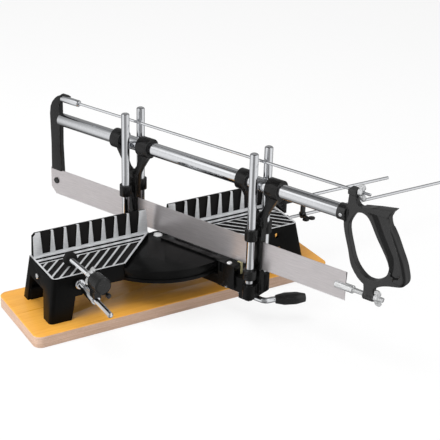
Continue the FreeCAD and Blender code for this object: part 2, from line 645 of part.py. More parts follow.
bolt_top = "disc_top - pivot_sink + pivot_head_height"
bolt_seat = "disc_top - pivot_sink"
bolt_foot = "(arm_bottom - washer_thickness - nut_height - 2)"
pivot_bolt = lathe("pivot_bolt", [
    ("0", bolt_foot), ("pivot_radius - 0.8", bolt_foot), ("pivot_radius", bolt_foot + " + 0.8"),
    ("pivot_radius", bolt_seat), ("pivot_head_radius", bolt_seat),
    ("pivot_head_radius", bolt_top + " - 1"), ("pivot_head_radius - 1.2", bolt_top), ("0", bolt_top)])
node(pivot_bolt, "pivot_bolt")
washer = lathe("pivot_washer", [
    ("pivot_radius + running_fit", "arm_bottom - washer_thickness"),
    ("washer_radius", "arm_bottom - washer_thickness"),
    ("washer_radius", "arm_bottom"), ("pivot_radius + running_fit", "arm_bottom")])
node(washer, "pivot_washer")


def hex_nut(name, radius, bore, height):
    block = doc.addObject("Part::Prism", name + "_hexagon")
    block.Polygon = 6
    bind(block, "Circumradius", radius)
    bind(block, "Height", height)
    return cut(name, block, [rod(name + "_bore", bore, ("0", "0", "-1"), "%s + 2" % height)])


pivot_nut = hex_nut("pivot_nut", "nut_radius", "pivot_radius + thread_fit", "nut_height")
node(pivot_nut, "pivot_nut", ("0", "0", "arm_bottom - washer_thickness - nut_height"), "z")

# Swing arm: beam under the disc, block beyond its rim, and a cross-head at each pair of posts

beam = box("arm_beam", ("rear_station - web_half_length + 1", "-arm_half_width", "arm_bottom"),
           ("block_start + 4", "arm_half_width", "arm_beam_top"))
hub_boss = rod("arm_hub", "hub_boss_radius", ("0", "0", "arm_bottom"), "disc_bottom - disc_gap - arm_bottom")
block = box("arm_block", ("block_start", "-block_half_width", "arm_bottom"),
            ("block_shoulder + 1", "block_half_width", "block_deck"))
block_wide = box("arm_block_wide", ("block_shoulder", "-block_wide_half", "block_wide_bottom"),
                 ("block_end", "block_wide_half", "block_deck + plate_thickness"))
neck = box("arm_neck", ("block_shoulder", "-neck_half_width", "arm_bottom"),
           ("front_station", "neck_half_width", "neck_top"))
lever_lug = box("lever_lug", ("lever_lug_start", "-lever_lug_half", "lever_lug_bottom"),
                ("lever_lug_end", "lever_lug_half", "arm_bottom + 3"))
arm_parts = [beam, hub_boss, block, block_wide, neck, lever_lug]
arm_cutters = [rod("arm_pivot_bore", "pivot_radius + running_fit", ("0", "0", "arm_bottom - 1"), "disc_top"),
               box("arm_notch", ("block_end - notch_depth", "-notch_outer", "notch_bottom + 8"),
                   ("block_end + 1", "-notch_inner", "notch_top")),
               rod("arm_flute", "flute_radius", ("flute_station", "-block_half_width", "flute_bottom"),
                   "disc_top"),
               rod("lever_bore", "lever_radius + running_fit", ("lever_lug_start - 1", "0", "lever_height"),
                   "lever_lug_end - lever_lug_start + 2", "x"),
               rod("deck_screw_hole", "deck_screw_shank + screw_fit",
                   ("deck_screw_station", "-deck_screw_offset",
                    "block_deck - deck_screw_depth + plate_thickness"),
                   "deck_screw_depth + 5"),
               rod("side_screw_hole", "side_screw_radius * 0.6 + screw_fit",
                   ("side_screw_station", "-neck_half_width + side_screw_depth", "side_screw_height"),
                   "side_screw_depth + 1", "-y")]
post_posts = []
for end, station in (("rear", "rear_station"), ("front", "front_station")):
    for side, sign in (("left", "-"), ("right", "")):
        top = "near_boss_top" if (end, side) == ("front", "left") else "boss_top"
        tag = "%s_%s" % (end, side)
        spot_y = sign + "post_offset"
        arm_parts.append(rod(tag + "_boss", "boss_radius", (station, spot_y, "arm_bottom + boss_round"),
                             top + " - arm_bottom - boss_round"))
        arm_parts.append(cone(tag + "_boss_foot", "boss_radius - boss_round", "boss_radius",
                              (station, spot_y, "arm_bottom"), "boss_round"))
        arm_cutters.append(rod(tag + "_socket", "post_radius + post_fit",
                               (station, spot_y, "arm_bottom + boss_floor"),
                               "boss_top"))
        post_posts.append((tag, station, spot_y))
    arm_parts.append(box(end + "_web", (station + " - web_half_length", "-post_offset", "arm_bottom + 1"),
                         (station + " + web_half_length", "post_offset", "web_top")))
    arm_parts.append(box(end + "_upright", (station + " - upright_back", "-upright_half_width", "web_bottom"),
                         (station + " + upright_front", "upright_half_width", "rest_height")))
    arm_cutters.append(box(end + "_kerf", (station + " - 2 * upright_front", "-kerf_width / 2", "kerf_floor"),
                           (station + " + 2 * upright_front", "kerf_width / 2", "rest_height + 1")))
arm = cut("arm", fuse("arm_blank", arm_parts), arm_cutters)
node(arm, "swing_arm", saw=True)

# Kerf plate that carries the work beside the cut, above the half disc

plate_low = "block_deck"
kerf_blank = box("kerf_blank", ("plate_start", "-plate_half_width", plate_low),
                 ("block_shoulder", "plate_half_width", plate_low + " + plate_thickness"))
kerf_slot = box("kerf_slot", ("kerf_slot_start", "-kerf_width / 2", plate_low + " - 1"),
                ("kerf_slot_end", "kerf_width / 2", plate_low + " + plate_thickness + 1"))
node(cut("kerf_plate_cut", kerf_blank, [kerf_slot]), "kerf_plate", saw=True)
deck_screw = lathe("deck_screw", [
    ("0", "-deck_screw_depth"), ("deck_screw_shank", "-deck_screw_depth"), ("deck_screw_shank", "0"),
    ("deck_screw_radius", "0"), ("deck_screw_radius", "deck_screw_height * 0.5"),
    ("deck_screw_radius * 0.6", "deck_screw_height"), ("0", "deck_screw_height")])
node(deck_screw, "arm_deck_screw",
     ("deck_screw_station", "-deck_screw_offset", plate_low + " + plate_thickness"), "z", saw=True)
pointer_base = "(block_deck + plate_thickness)"
pointer_leaf = box("pointer_leaf", ("block_end - pointer_reach", "pointer_offset", pointer_base),
                   ("block_end + pointer_thickness", "pointer_offset + pointer_width",
                    pointer_base + " + pointer_thickness"))
pointer_tail = box("pointer_tail", ("block_end", "pointer_offset", pointer_base + " - pointer_drop"),
                   ("block_end + pointer_thickness", "pointer_offset + pointer_width",
                    pointer_base + " + pointer_thickness"))
node(fuse("pointer", [pointer_leaf, pointer_tail]), "angle_pointer", saw=True)
side_screw = lathe("side_screw", [
    ("0", "-side_screw_depth"), ("side_screw_radius * 0.6", "-side_screw_depth"),
    ("side_screw_radius * 0.6", "0"),
    ("side_screw_radius", "0"), ("side_screw_radius", "side_screw_head * 0.6"),
    ("side_screw_radius * 0.6", "side_screw_head"), ("0", "side_screw_head")])
node(side_screw, "arm_side_screw", ("side_screw_station", "-neck_half_width", "side_screw_height"), "-y",
     saw=True)

# Posts: bright bars with domed tops, pressed into the arm's bosses

for tag, station, spot_y in post_posts:
    foot = "0"
    top = "(post_top - arm_bottom - boss_floor)"
    post = lathe(tag + "_post", [
        ("0", foot), ("post_radius", foot), ("post_radius", top + " - post_dome"),
        ("post_radius - post_dome * 0.4", top + " - post_dome * 0.4"),
        ("post_radius - post_dome", top), ("0", top)])
    node(post, tag + "_post", (station, spot_y, "arm_bottom + boss_floor"), "z", saw=True)

# Depth stop ring and its screw on the near front post

ring = lathe("stop_ring", [
    ("post_radius + running_fit", "0"), ("stop_ring_radius - 1", "0"), ("stop_ring_radius", "1"),
    ("stop_ring_radius", "stop_ring_height - 1"), ("stop_ring_radius - 1", "stop_ring_height"),
    ("post_radius + running_fit", "stop_ring_height")])
ring_hole = rod("ring_screw_hole", "ring_screw_radius + screw_fit", ("0", "0", "stop_ring_height / 2"),
                "stop_ring_radius + 1", "-y")
ring_cut = cut("stop_ring_cut", ring, [ring_hole])
node(ring_cut, "depth_stop_ring", ("front_station", "-post_offset", "stop_ring_bottom"), "z", saw=True)
ring_screw = lathe("ring_screw", [
    ("0", "post_radius + 0.15"), ("ring_screw_radius", "post_radius + 0.15"),
    ("ring_screw_radius", "stop_ring_radius + ring_screw_reach"),
    ("0", "stop_ring_radius + ring_screw_reach")])
node(ring_screw, "depth_stop_screw",
     ("front_station", "-post_offset", "stop_ring_bottom + stop_ring_height / 2"), "-y", saw=True)


# Lock lever: a bent bar that turns in the arm, with a faceted grip

def lever_route():
    high = size("lever_height")
    low = high - size("lever_low")
    return [Vector(size("lever_start"), 0, high), Vector(size("lever_bend"), 0, high),
            Vector(size("lever_elbow"), size("lever_elbow_offset"), low),
            Vector(size("lever_tip"), size("lever_tip_offset"), low)]


def bent_bar(points, radius, bend):
    # straight runs joined by arcs, swept with a round section
    edges = []
    start = points[0]
    for before, corner, after in zip(points, points[1:], points[2:]):
        back = (before - corner).normalize()
        onward = (after - corner).normalize()
        half = back.getAngle(onward) / 2
        reach = bend / math.tan(half)
        first = corner + back * reach
        last = corner + onward * reach
        middle_way = (back + onward).normalize()
        centre = corner + middle_way * (bend / math.sin(half))
        mid = centre - middle_way * bend
        edges.append(Part.LineSegment(start, first).toShape())
        edges.append(Part.Arc(first, mid, last).toShape())
        start = last
    edges.append(Part.LineSegment(start, points[-1]).toShape())
    path = Part.Wire(edges)
    section = Part.Wire([Part.makeCircle(radius, points[0], points[1] - points[0])])
    return path.makePipeShell([section], True, False)


lever = doc.addObject("Part::Feature", "lock_lever")
lever.Shape = bent_bar(lever_route(), size("lever_radius"), size("lever_bend_radius"))
node(lever, "lock_lever_bar", saw=True)
route = lever_route()
grip_axis = (route[3] - route[2]).normalize()


def facet_ring(centre, axis, radius, count=8):
    side = axis.cross(Vector(0, 0, 1)).normalize()
    up = side.cross(axis)
    corners_here = []
    for index in range(count + 1):
        angle = 2 * math.pi * (index + 0.5) / count
        corners_here.append(centre + side * radius * math.cos(angle) + up * radius * math.sin(angle))
    return Part.makePolygon(corners_here)


grip_stations = ((0, "grip_end_radius"), (0.3, "grip_radius"), (0.7, "grip_radius"), (1, "grip_end_radius"))
grip_start = route[3] - grip_axis * size("grip_overlap")
rings = [facet_ring(grip_start + grip_axis * (share * size("grip_length")), grip_axis, size(radius))
         for share, radius in grip_stations]
grip_solid = Part.makeLoft(rings, True, True)
bore_for_bar = Part.makeCylinder(size("lever_radius") + size("screw_fit"),
                                 size("grip_overlap") + size("screw_fit"),
                                 grip_start, grip_axis)
grip = doc.addObject("Part::Feature", "lever_grip")
grip.Shape = grip_solid.cut(bore_for_bar)
node(grip, "lock_lever_grip", saw=True)


# Guides: collars on the posts, a slotted fin over the blade, a V of struts and two bushes on the tube

def guide(end, station):
    at = "(%s + %%s)" % station
    parts = []
    holes = []
    for side, sign in (("left", "-"), ("right", "")):
        parts.append(rod("%s_%s_collar" % (end, side), "collar_radius",
                         (station, sign + "post_offset", "collar_bottom"),
                         "collar_top - collar_bottom"))
        holes.append(rod("%s_%s_collar_bore" % (end, side), "post_radius + running_fit",
                         (station, sign + "post_offset", "collar_bottom - 1"),
                         "collar_top - collar_bottom + 2"))
    parts.append(box(end + "_collar_web",
                     (station + " - collar_radius * 0.6", "-post_offset", "collar_bottom + 2"),
                     (station + " + collar_radius * 0.6", "post_offset", "collar_top - 1")))
    parts.append(box(end + "_fin", (station + " - upright_back", "-upright_half_width", "rest_height"),
                     (station + " + upright_front", "upright_half_width", "fin_top")))
    vee = prism(end + "_vee", "xz", [
        (at % "(-neck_back)", "collar_top - 2"), (at % "neck_front", "collar_top - 2"),
        (at % "neck_front", "neck_height"), (at % "(neck_front + 5)", "vee_bottom + 5"),
        (at % "near_bush_front - 2", "tube_axis - bush_radius * 0.7"),
        (at % "near_bush_front - 1", "tube_axis"),
        (at % "(near_bush_back + 0.5)", "tube_axis"),
        (at % "(near_bush_back - 3)", "tube_axis - bush_radius"),
        (at % "(near_bush_back - 3.5)", "vee_bottom + 19"), (at % "(near_bush_back - 6)", "vee_bottom + 10"),
        (at % "vee_station + 6", "vee_bottom + 2"), (at % "vee_station", "vee_bottom"),
        (at % "(vee_station - 5)", "vee_bottom + 4"), (at % "(vee_station - 10)", "vee_bottom + 14"),
        (at % "(-far_bush_front + 1.5)", "tube_axis - bush_radius"),
        (at % "(-far_bush_front - 1)", "tube_axis"),
        (at % "(-far_bush_back + 1)", "tube_axis"),
        (at % "(-far_bush_back + 3)", "tube_axis - bush_radius * 0.7"),
        (at % "(-neck_back - 3)", "neck_height + 6")],
        "-guide_plate / 2", "guide_plate / 2")
    parts.append(vee)
    parts.append(rod(end + "_far_bush", "bush_radius", (at % "(-far_bush_back)", "0", "tube_axis"),
                     "far_bush_back - far_bush_front", "x"))
    parts.append(rod(end + "_near_bush", "bush_radius", (at % "near_bush_back", "0", "tube_axis"),
                     "near_bush_front - near_bush_back", "x"))
    holes.append(rod(end + "_tube_bore", "tube_radius + tube_fit",
                     (at % "(-far_bush_back - 1)", "0", "tube_axis"),
                     "far_bush_back + near_bush_front + 2", "x"))
    holes.append(box(end + "_blade_slot",
                     (station + " - neck_back * 2", "-blade_slot / 2", "rest_height - 1"),
                     (station + " + neck_front * 2", "blade_slot / 2", "blade_top + blade_clearance")))
    low = rod(end + "_low_screw_hole", "guide_screw_radius + screw_fit",
              (at % "guide_screw_station", "-upright_half_width + guide_screw_depth", "guide_screw_low"),
              "guide_screw_depth + post_offset", "-y")
    high = rod(end + "_high_screw_hole", "guide_screw_radius + screw_fit",
               (at % "guide_screw_station", "-guide_plate / 2 + guide_screw_depth", "guide_screw_high"),
               "guide_screw_depth + post_offset", "-y")
    holes.extend([low, high])
    body = cut(end + "_guide", fuse(end + "_guide_blank", parts), holes)
    node(body, end + "_guide", saw=True)
    pieces = []
    for name, face, height in (("low", "-upright_half_width", "guide_screw_low"),
                               ("high", "-guide_plate / 2", "guide_screw_high")):
        pieces.append(rod("%s_guide_%s_screw" % (end, name), "guide_screw_radius",
                          (at % "guide_screw_station", "%s + guide_screw_depth" % face, height),
                          "guide_screw_depth + guide_screw_reach", "-y"))
    group = doc.addObject("Part::Compound", end + "_guide_screw_group")
    group.Links = pieces
    node(group, end + "_guide_screws", saw=True)


guide("rear", "rear_station")
guide("front", "front_station")

# Saw frame: tube, blade and its pegs, rear bracket, tension rod

tube = lathe("saw_tube", [
    ("tube_radius - tube_wall", "0"), ("tube_radius", "0"), ("tube_radius", "tube_end - tube_start"),
    ("tube_radius - tube_wall", "tube_end - tube_start")])
node(tube, "saw_tube", ("tube_start", "0", "tube_axis"), "x", saw=True)

blade = new_body("blade")
blade_sketch = body_sketch(blade, "XZ_Plane", "-blade_thickness / 2")
tooth_count = int((size("blade_front") - size("blade_rear") - size("blade_corner") - size("blade_front_lean"))
                  // size("tooth_pitch"))
blade_points = [("blade_rear", "blade_bottom + blade_corner"),
                ("blade_rear + blade_corner", "blade_bottom + tooth_depth")]
for index in range(tooth_count):
    start = "blade_rear + blade_corner + %d * tooth_pitch" % index
    if index:
        blade_points.append((start, "blade_bottom + tooth_depth"))
    blade_points.append((start + " + tooth_pitch * 0.9", "blade_bottom"))
blade_points.append(("blade_rear + blade_corner + %d * tooth_pitch" % tooth_count,
                     "blade_bottom + tooth_depth"))
blade_points.append(("blade_front - blade_front_lean", "blade_bottom + tooth_depth"))
blade_points.append(("blade_front", "blade_top"))
blade_points.append(("blade_rear", "blade_top"))
draw_outline(blade_sketch, blade_points)
add_circle(blade_sketch, "peg_station", "peg_height", "peg_radius + screw_fit")
add_circle(blade_sketch, "hook_peg_station", "neck_axis", "hook_peg_radius + screw_fit")
pad(blade, blade_sketch, "blade_thickness")
node(blade, "saw_blade", saw=True)

rod_start = "(bracket_seat - rod_seat_depth)"
bracket_side = "bracket_thickness / 2"
bracket_middle = "(bracket_bottom + tube_axis) / 2"
bracket_plate = prism("bracket_plate", "xz", [
    ("bracket_rear", "bracket_bottom"), ("bracket_front + 0.6", "bracket_bottom"),
    ("bracket_waist", bracket_middle), ("bracket_front", "tube_axis - tube_radius"),
    ("bracket_front", "bracket_chin"), ("bracket_seat", "bracket_chin + 2.5"),
    ("bracket_seat", "bracket_top"), ("bracket_seat - 6.5", "bracket_top - 2.3"),
    ("bracket_seat - 12", "bracket_top - 7"), ("bracket_rear + 5.7", "bracket_top - 13.5"),
    ("bracket_rear + 1.8", "bracket_top - 21.5"), ("bracket_rear", "bracket_shoulder"),
    ("bracket_rear + 1", bracket_middle)],
    "-" + bracket_side, bracket_side)
bracket_hood = prism("bracket_hood", "xz", [
    ("bracket_seat - 3", "rod_axis + 1"), ("hood_front", "rod_axis + 1"),
    ("hood_front", "rod_axis + hood_rise - 1"), ("hood_front - 5", "rod_axis + hood_rise"),
    ("bracket_seat - 3", "rod_axis + hood_rise")],
    "0", "hood_side")
bracket_lug = box("bracket_lug", ("bracket_rear", "blade_thickness / 2 + 0.05", "lug_bottom"),
                  ("bracket_front", "blade_thickness / 2 + 0.05 + lug_thickness", "bracket_bottom + 2"))
spigot = rod("bracket_spigot", "tube_radius - tube_wall - 0.02", ("bracket_front - 1", "0", "tube_axis"),
             "spigot_length", "x")
bracket = cut("bracket", fuse("bracket_blank", [bracket_plate, bracket_hood, bracket_lug, spigot]), [
    rod("bracket_peg_hole", "peg_radius + screw_fit", ("peg_station", "-peg_head", "peg_height"),
        "4 * lug_thickness", "y"),
    rod("bracket_hood_bore", "barrel_radius + running_fit", ("bracket_seat", "0", "rod_axis"),
        "hood_front - bracket_seat + 1", "x"),
    rod("bracket_rod_hole", "rod_radius + screw_fit", (rod_start + " - screw_fit", "0", "rod_axis"),
        "rod_seat_depth + 1", "x")])
node(bracket, "rear_bracket", saw=True)
peg_side = "(blade_thickness / 2 + 0.05)"
peg = lathe("blade_peg", [
    ("0", "0"), ("peg_head_radius - 0.6", "0"), ("peg_head_radius", "0.6"), ("peg_head_radius", "peg_head"),
    ("peg_radius", "peg_head"), ("peg_radius", "peg_head + 2 * %s + lug_thickness" % peg_side),
    ("0", "peg_head + 2 * %s + lug_thickness" % peg_side)])
node(peg, "blade_peg", ("peg_station", "-%s - peg_head" % peg_side, "peg_height"), "y", saw=True)
rod_body = lathe("tension_rod", [
    ("0", "0"), ("rod_radius", "0"), ("rod_radius", "lug_flange_end + 18 - " + rod_start),
    ("0", "lug_flange_end + 18 - " + rod_start)])
node(rod_body, "tension_rod", (rod_start, "0", "rod_axis"), "x", saw=True)
barrel = lathe("rod_barrel", [
    ("rod_radius + screw_fit", "0"), ("barrel_radius", "0"),
    ("barrel_radius", "barrel_end - bracket_seat - 2"),
    ("barrel_radius - 1.5", "barrel_end - bracket_seat"),
    ("rod_radius + screw_fit", "barrel_end - bracket_seat")])
node(barrel, "rod_barrel", ("bracket_seat", "0", "rod_axis"), "x", saw=True)


# Handle: one casting, its outline a run of straight and curved stretches

def curve(points):
    spline = Part.BSplineCurve()
    spline.interpolate(points)
    return spline.toShape()


def line(first, last):
    return Part.LineSegment(first, last).toShape()


def handle_point(station, height):
    # heights run with the distance to the lug below and to the one above
    if height > 0:
        share = (size("rod_axis") - size("handle_height")) / size("handle_lug_span")
    else:
        share = (size("handle_height") - size("neck_axis")) / size("handle_neck_span")
    return Vector(size("handle_station") + station, 0, size("handle_height") + height * share)


def handle_points(pairs):
    return [handle_point(station, height) for station, height in pairs]


def slab(wire, thickness):
    face = Part.Face(wire)
    face.translate(Vector(0, thickness / 2, 0))
    return face.extrude(Vector(0, -thickness, 0))


front_strut = handle_points([(3.6, 16), (1, 4), (-0.6, -8.3), (3.7, -31.8), (10, -51.7), (16.3, -71.8),
                             (23.4, -81.5), (31.3, -88.8), (36.7, -91.5)])
grip_back = handle_points([(67.4, 19.5), (67.4, 9), (71, 0.2), (78.4, -11.4), (87.6, -29.4), (95.3, -45.1),
                           (99.2, -57.7), (100.6, -65.7), (95.9, -75.7), (84.3, -80.3), (65.2, -85.9),
                           (52.8, -95)])
opening = handle_points([(8.4, -10.1), (13.2, 0.2), (20.1, 7.4), (31.5, 7.3), (39.1, 0), (48.6, -16.3),
                         (57.3, -29.4), (66.2, -42.8), (71.5, -55.1), (70.4, -66.4), (63.3, -75.1),
                         (56.2, -79.9), (44.3, -81.6), (31.6, -74.8), (22.2, -63.3), (14.3, -42.8),
                         (9, -25.1)])
neck_drop = -size("handle_neck_span")
neck_left = size("neck_start") + 0.5 - size("handle_station")
neck_right = size("neck_end") - 0.5 - size("handle_station")
outline = [
    line(handle_point(4.6, 34), handle_point(3.6, 16)),
    curve(front_strut),
    line(front_strut[-1], handle_point(neck_left, neck_drop)),
    line(handle_point(neck_left, neck_drop), handle_point(neck_right, neck_drop)),
    line(handle_point(neck_right, neck_drop), grip_back[-1]),
    curve(list(reversed(grip_back))),
    line(grip_back[0], handle_point(73.8, 26.6)),
    line(handle_point(73.8, 26.6), handle_point(49.2, 22.2)),
    curve([handle_point(49.2, 22.2), handle_point(32, 17.8), handle_point(22, 17), handle_point(16, 24.5)]),
    line(handle_point(16, 24.5), handle_point(16, 34)),
    line(handle_point(16, 34), handle_point(4.6, 34)),
]
opening_spline = Part.BSplineCurve()
opening_spline.interpolate(opening, PeriodicFlag=True)
opening_wire = Part.Wire([opening_spline.toShape()])
frame_slab = slab(Part.Wire(Part.__sortEdges__(outline)), size("handle_plate"))
frame_slab = frame_slab.cut(slab(opening_wire, size("grip_thickness") * 2))
palm_outer = grip_back[2:9]
palm_inner = handle_points([(51, 0), (57.5, -12), (65, -25), (73, -39), (78.5, -52), (80, -62), (78.5, -72)])
palm_wire = Part.Wire([
    curve(palm_outer), line(palm_outer[-1], palm_inner[-1]),
    curve(list(reversed(palm_inner))), line(palm_inner[0], palm_outer[0])])
palm = slab(palm_wire, size("grip_thickness"))
long_edges = [edge for edge in palm.Edges if edge.Length > 60]
palm = palm.makeFillet(size("grip_round"), long_edges)
thickness = size("lug_flange_half")
flange = Part.makeBox(size("lug_flange_end") - size("lug_flange_start"), 2 * thickness,
                      size("lug_flange_height"),
                      Vector(size("lug_flange_start"), -thickness,
                             size("rod_axis") + 2.6 - size("lug_flange_height")))
along = Vector(1, 0, 0)
socket = Part.makeCylinder(size("socket_radius"), size("socket_end") - size("socket_start"),
                           Vector(size("socket_start"), 0, size("tube_axis")), along)
neck_tube = Part.makeCylinder(size("neck_radius"), size("neck_end") - size("neck_start"),
                              Vector(size("neck_start"), 0, size("neck_axis")), along)
handle_shape = frame_slab.multiFuse([palm, flange, socket, neck_tube]).removeSplitter()
for radius, station, length, height in (
        (size("tube_radius") + 0.02, size("socket_start") - 1, size("tube_end") - size("socket_start") + 1,
         size("tube_axis")),
        (size("rod_radius") + size("screw_fit"), size("handle_station") - 5, 30, size("rod_axis")),
        (size("bolt_radius") + size("thread_fit"), size("neck_start") - 5, 40, size("neck_axis"))):
    handle_shape = handle_shape.cut(Part.makeCylinder(radius, length, Vector(station, 0, height), along))
socket_screw_hole = Part.makeCylinder(size("socket_screw_radius") + size("screw_fit"), size("socket_radius"),
                                      Vector(size("socket_screw_station"), -size("tube_radius") - 0.4,
                                             size("tube_axis")),
                                      Vector(0, -1, 0))
handle_shape = handle_shape.cut(socket_screw_hole)
handle = doc.addObject("Part::Feature", "saw_handle")
handle.Shape = handle_shape
node(handle, "handle", saw=True)
socket_screw = lathe("socket_screw", [
    ("0", "0"), ("socket_screw_radius", "0"),
    ("socket_screw_radius", "socket_radius - tube_radius - 0.4 + socket_screw_reach - 0.6"),
    ("socket_screw_radius - 0.6", "socket_radius - tube_radius - 0.4 + socket_screw_reach"),
    ("0", "socket_radius - tube_radius - 0.4 + socket_screw_reach")])
node(socket_screw, "socket_screw", ("socket_screw_station", "-tube_radius - 0.4", "tube_axis"), "-y",
     saw=True)

# Blade tension bolt with its peg

hook_blank = lathe("hook_bolt", [
    ("0", "0"), ("hook_radius - 1", "0"), ("hook_radius", "1"), ("hook_radius", "hook_end - hook_start - 1"),
    ("hook_radius - 1", "hook_end - hook_start"), ("bolt_radius", "hook_end - hook_start"),
    ("bolt_radius", "bolt_end - hook_start"), ("0", "bolt_end - hook_start")])
slot = box("hook_slot", ("-hook_slot / 2", "-hook_radius - 1", "-1"),
           ("hook_slot / 2", "hook_radius + 1", "blade_front - hook_start + 0.5"))
peg_hole = rod("hook_peg_hole", "hook_peg_radius + screw_fit",
               ("-hook_radius - 1", "0", "hook_peg_station - hook_start"),
               "2 * hook_radius + 2", "x")
hook = cut("hook", hook_blank, [slot, peg_hole])
turns["saw_bolt"] = Rotation(Vector(1, 0, 0), 90).multiply(Rotation(Vector(0, 1, 0), 90))
node(hook, "blade_tension_bolt", ("hook_start", "0", "neck_axis"), "saw_bolt", saw=True)
hook_peg = lathe("hook_peg", [
    ("0", "0"), ("hook_peg_radius", "0"), ("hook_peg_radius", "2 * hook_radius"), ("0", "2 * hook_radius")])
node(hook_peg, "bolt_peg", ("hook_peg_station", "-hook_radius", "neck_axis"), "y", saw=True)
turns["wing_along"] = Rotation(Vector(0, 1, 0), 90).multiply(Rotation(Vector(0, 0, 1), 12))
node(wing_nut("rod_wing", "rod_radius"), "rod_wing_nut",
     ("lug_flange_end", "0", "rod_axis"), "wing_along", saw=True)
node(wing_nut("bolt_wing", "bolt_radius"), "bolt_wing_nut", ("neck_end", "0", "neck_axis"), "wing_along",
     saw=True)

# Work clamp on the left table: fixed rod, sliding sleeve, head, spindle with wings and foot

clamp_rod = lathe("clamp_rod", [
    ("0", "-flange_face + table_front - 2 * wall_thickness"),
    ("clamp_rod_radius", "-flange_face + table_front - 2 * wall_thickness"),
    ("clamp_rod_radius", "0"), ("flange_radius", "0"), ("flange_radius", "flange_height - 1"),
    ("flange_radius - 1", "flange_height"), ("clamp_rod_radius", "flange_height"),
    ("clamp_rod_radius", "clamp_rod_tip - flange_face - 2"),
    ("clamp_rod_radius - 2", "clamp_rod_tip - flange_face"), ("0", "clamp_rod_tip - flange_face")])
node(clamp_rod, "clamp_rod", ("-clamp_x", "-flange_face", "clamp_height"), "-y")
clamp_nut = hex_nut("clamp_nut", "clamp_nut_radius", "clamp_rod_radius + thread_fit", "clamp_nut_height")
node(clamp_nut, "clamp_rod_nut", ("-clamp_x", "-table_front + wall_thickness - 0.5", "clamp_height"), "y")
sleeve = lathe("clamp_sleeve", [
    ("clamp_rod_radius + running_fit", "0"), ("sleeve_radius - 0.6", "0"), ("sleeve_radius", "0.6"),
    ("sleeve_radius", "sleeve_front - sleeve_rear - 0.6"),
    ("sleeve_radius - 0.6", "sleeve_front - sleeve_rear"),
    ("clamp_rod_radius + running_fit", "sleeve_front - sleeve_rear")])
node(sleeve, "clamp_sleeve", ("-clamp_x", "-sleeve_rear", "clamp_height"), "-y")
spindle_slope = Rotation(Vector(1, 0, 0), 90 - size("spindle_tilt"))
turns["spindle"] = spindle_slope


def on_spindle(distance):
    return ("-clamp_x", "-foot_y - (%s) * cos(spindle_tilt)" % distance,
            "foot_z + (%s) * sin(spindle_tilt)" % distance)


head_round = rod("head_round", "head_radius", on_spindle("head_rear"), "head_front - head_rear - 2",
                 "spindle")
head_cap = cone("head_cap", "head_radius", "head_radius - 2.5", on_spindle("head_front - 2"), "2", "spindle")
head_stem = box("head_stem", ("-clamp_x - stem_half_width", "-stem_front", "stem_bottom"),
                ("-clamp_x + stem_half_width", "-stem_rear", "foot_z"))
saddle = rod("head_saddle", "sleeve_radius + running_fit", ("-clamp_x", "-stem_rear + 1", "clamp_height"),
             "stem_front - stem_rear + 2", "-y")
spindle_bore = rod("spindle_bore", "spindle_radius + running_fit", on_spindle("head_rear - bore_lead"),
                   "bore_lead + head_front - head_rear - head_wall", "spindle")
lock_spot = ("-lock_screw_x", "-lock_boss_front + lock_screw_sink", "lock_screw_height")
lock_boss = rod("lock_boss", "lock_boss_radius", ("-lock_screw_x", "-stem_rear - 1", "lock_screw_height"),
                "lock_boss_front - stem_rear - 1", "-y")
lock_hole = rod("lock_screw_hole", "lock_screw_radius + running_fit", lock_spot, "lock_screw_sink + 1", "-y")
head = cut("clamp_head_cut", fuse("clamp_head_blank", [head_round, head_cap, head_stem, lock_boss]),
           [saddle, spindle_bore, lock_hole])
node(head, "clamp_head")
spindle = lathe("clamp_spindle", [
    ("0", "clamp_foot_thickness / 2"), ("spindle_radius", "clamp_foot_thickness / 2"),
    ("spindle_radius", "spindle_length - 1"),
    ("spindle_radius - 1", "spindle_length"), ("0", "spindle_length")])
node(spindle, "clamp_spindle", ("-clamp_x", "-foot_y", "foot_z"), "spindle")
foot_pad = lathe("clamp_foot", [
    ("0", "-clamp_foot_thickness / 2"), ("clamp_foot_radius - 1", "-clamp_foot_thickness / 2"),
    ("clamp_foot_radius", "-clamp_foot_thickness / 2 + 1"),
    ("clamp_foot_radius", "clamp_foot_thickness / 2 - 2"),
    ("clamp_foot_radius - 2", "clamp_foot_thickness / 2"), ("0", "clamp_foot_thickness / 2")])
node(foot_pad, "clamp_foot", ("-clamp_x", "-foot_y", "foot_z"), "spindle")
turns["spindle_wing"] = spindle_slope.multiply(Rotation(Vector(0, 0, 1), 60))
clamp_wing = wing_nut("clamp_wing", "spindle_radius")
node(clamp_wing, "clamp_wing_nut", on_spindle("clamp_wing_at"), "spindle_wing")
lock_length = "(lock_screw_tip - lock_boss_front + lock_screw_sink)"
lock_screw = lathe("clamp_lock", [
    ("0", "0.2"), ("lock_screw_radius", "0.2"), ("lock_screw_radius", lock_length + " - lock_knob_length"),
    ("lock_knob_radius", lock_length + " - lock_knob_length"), ("lock_knob_radius", lock_length + " - 0.8"),
    ("lock_knob_radius - 0.8", lock_length), ("0", lock_length)])
node(lock_screw, "clamp_lock_screw", lock_spot, "-y")

# Length stop on the right: rod in the end wall, link with its wing screw, upper rod with the stop plate

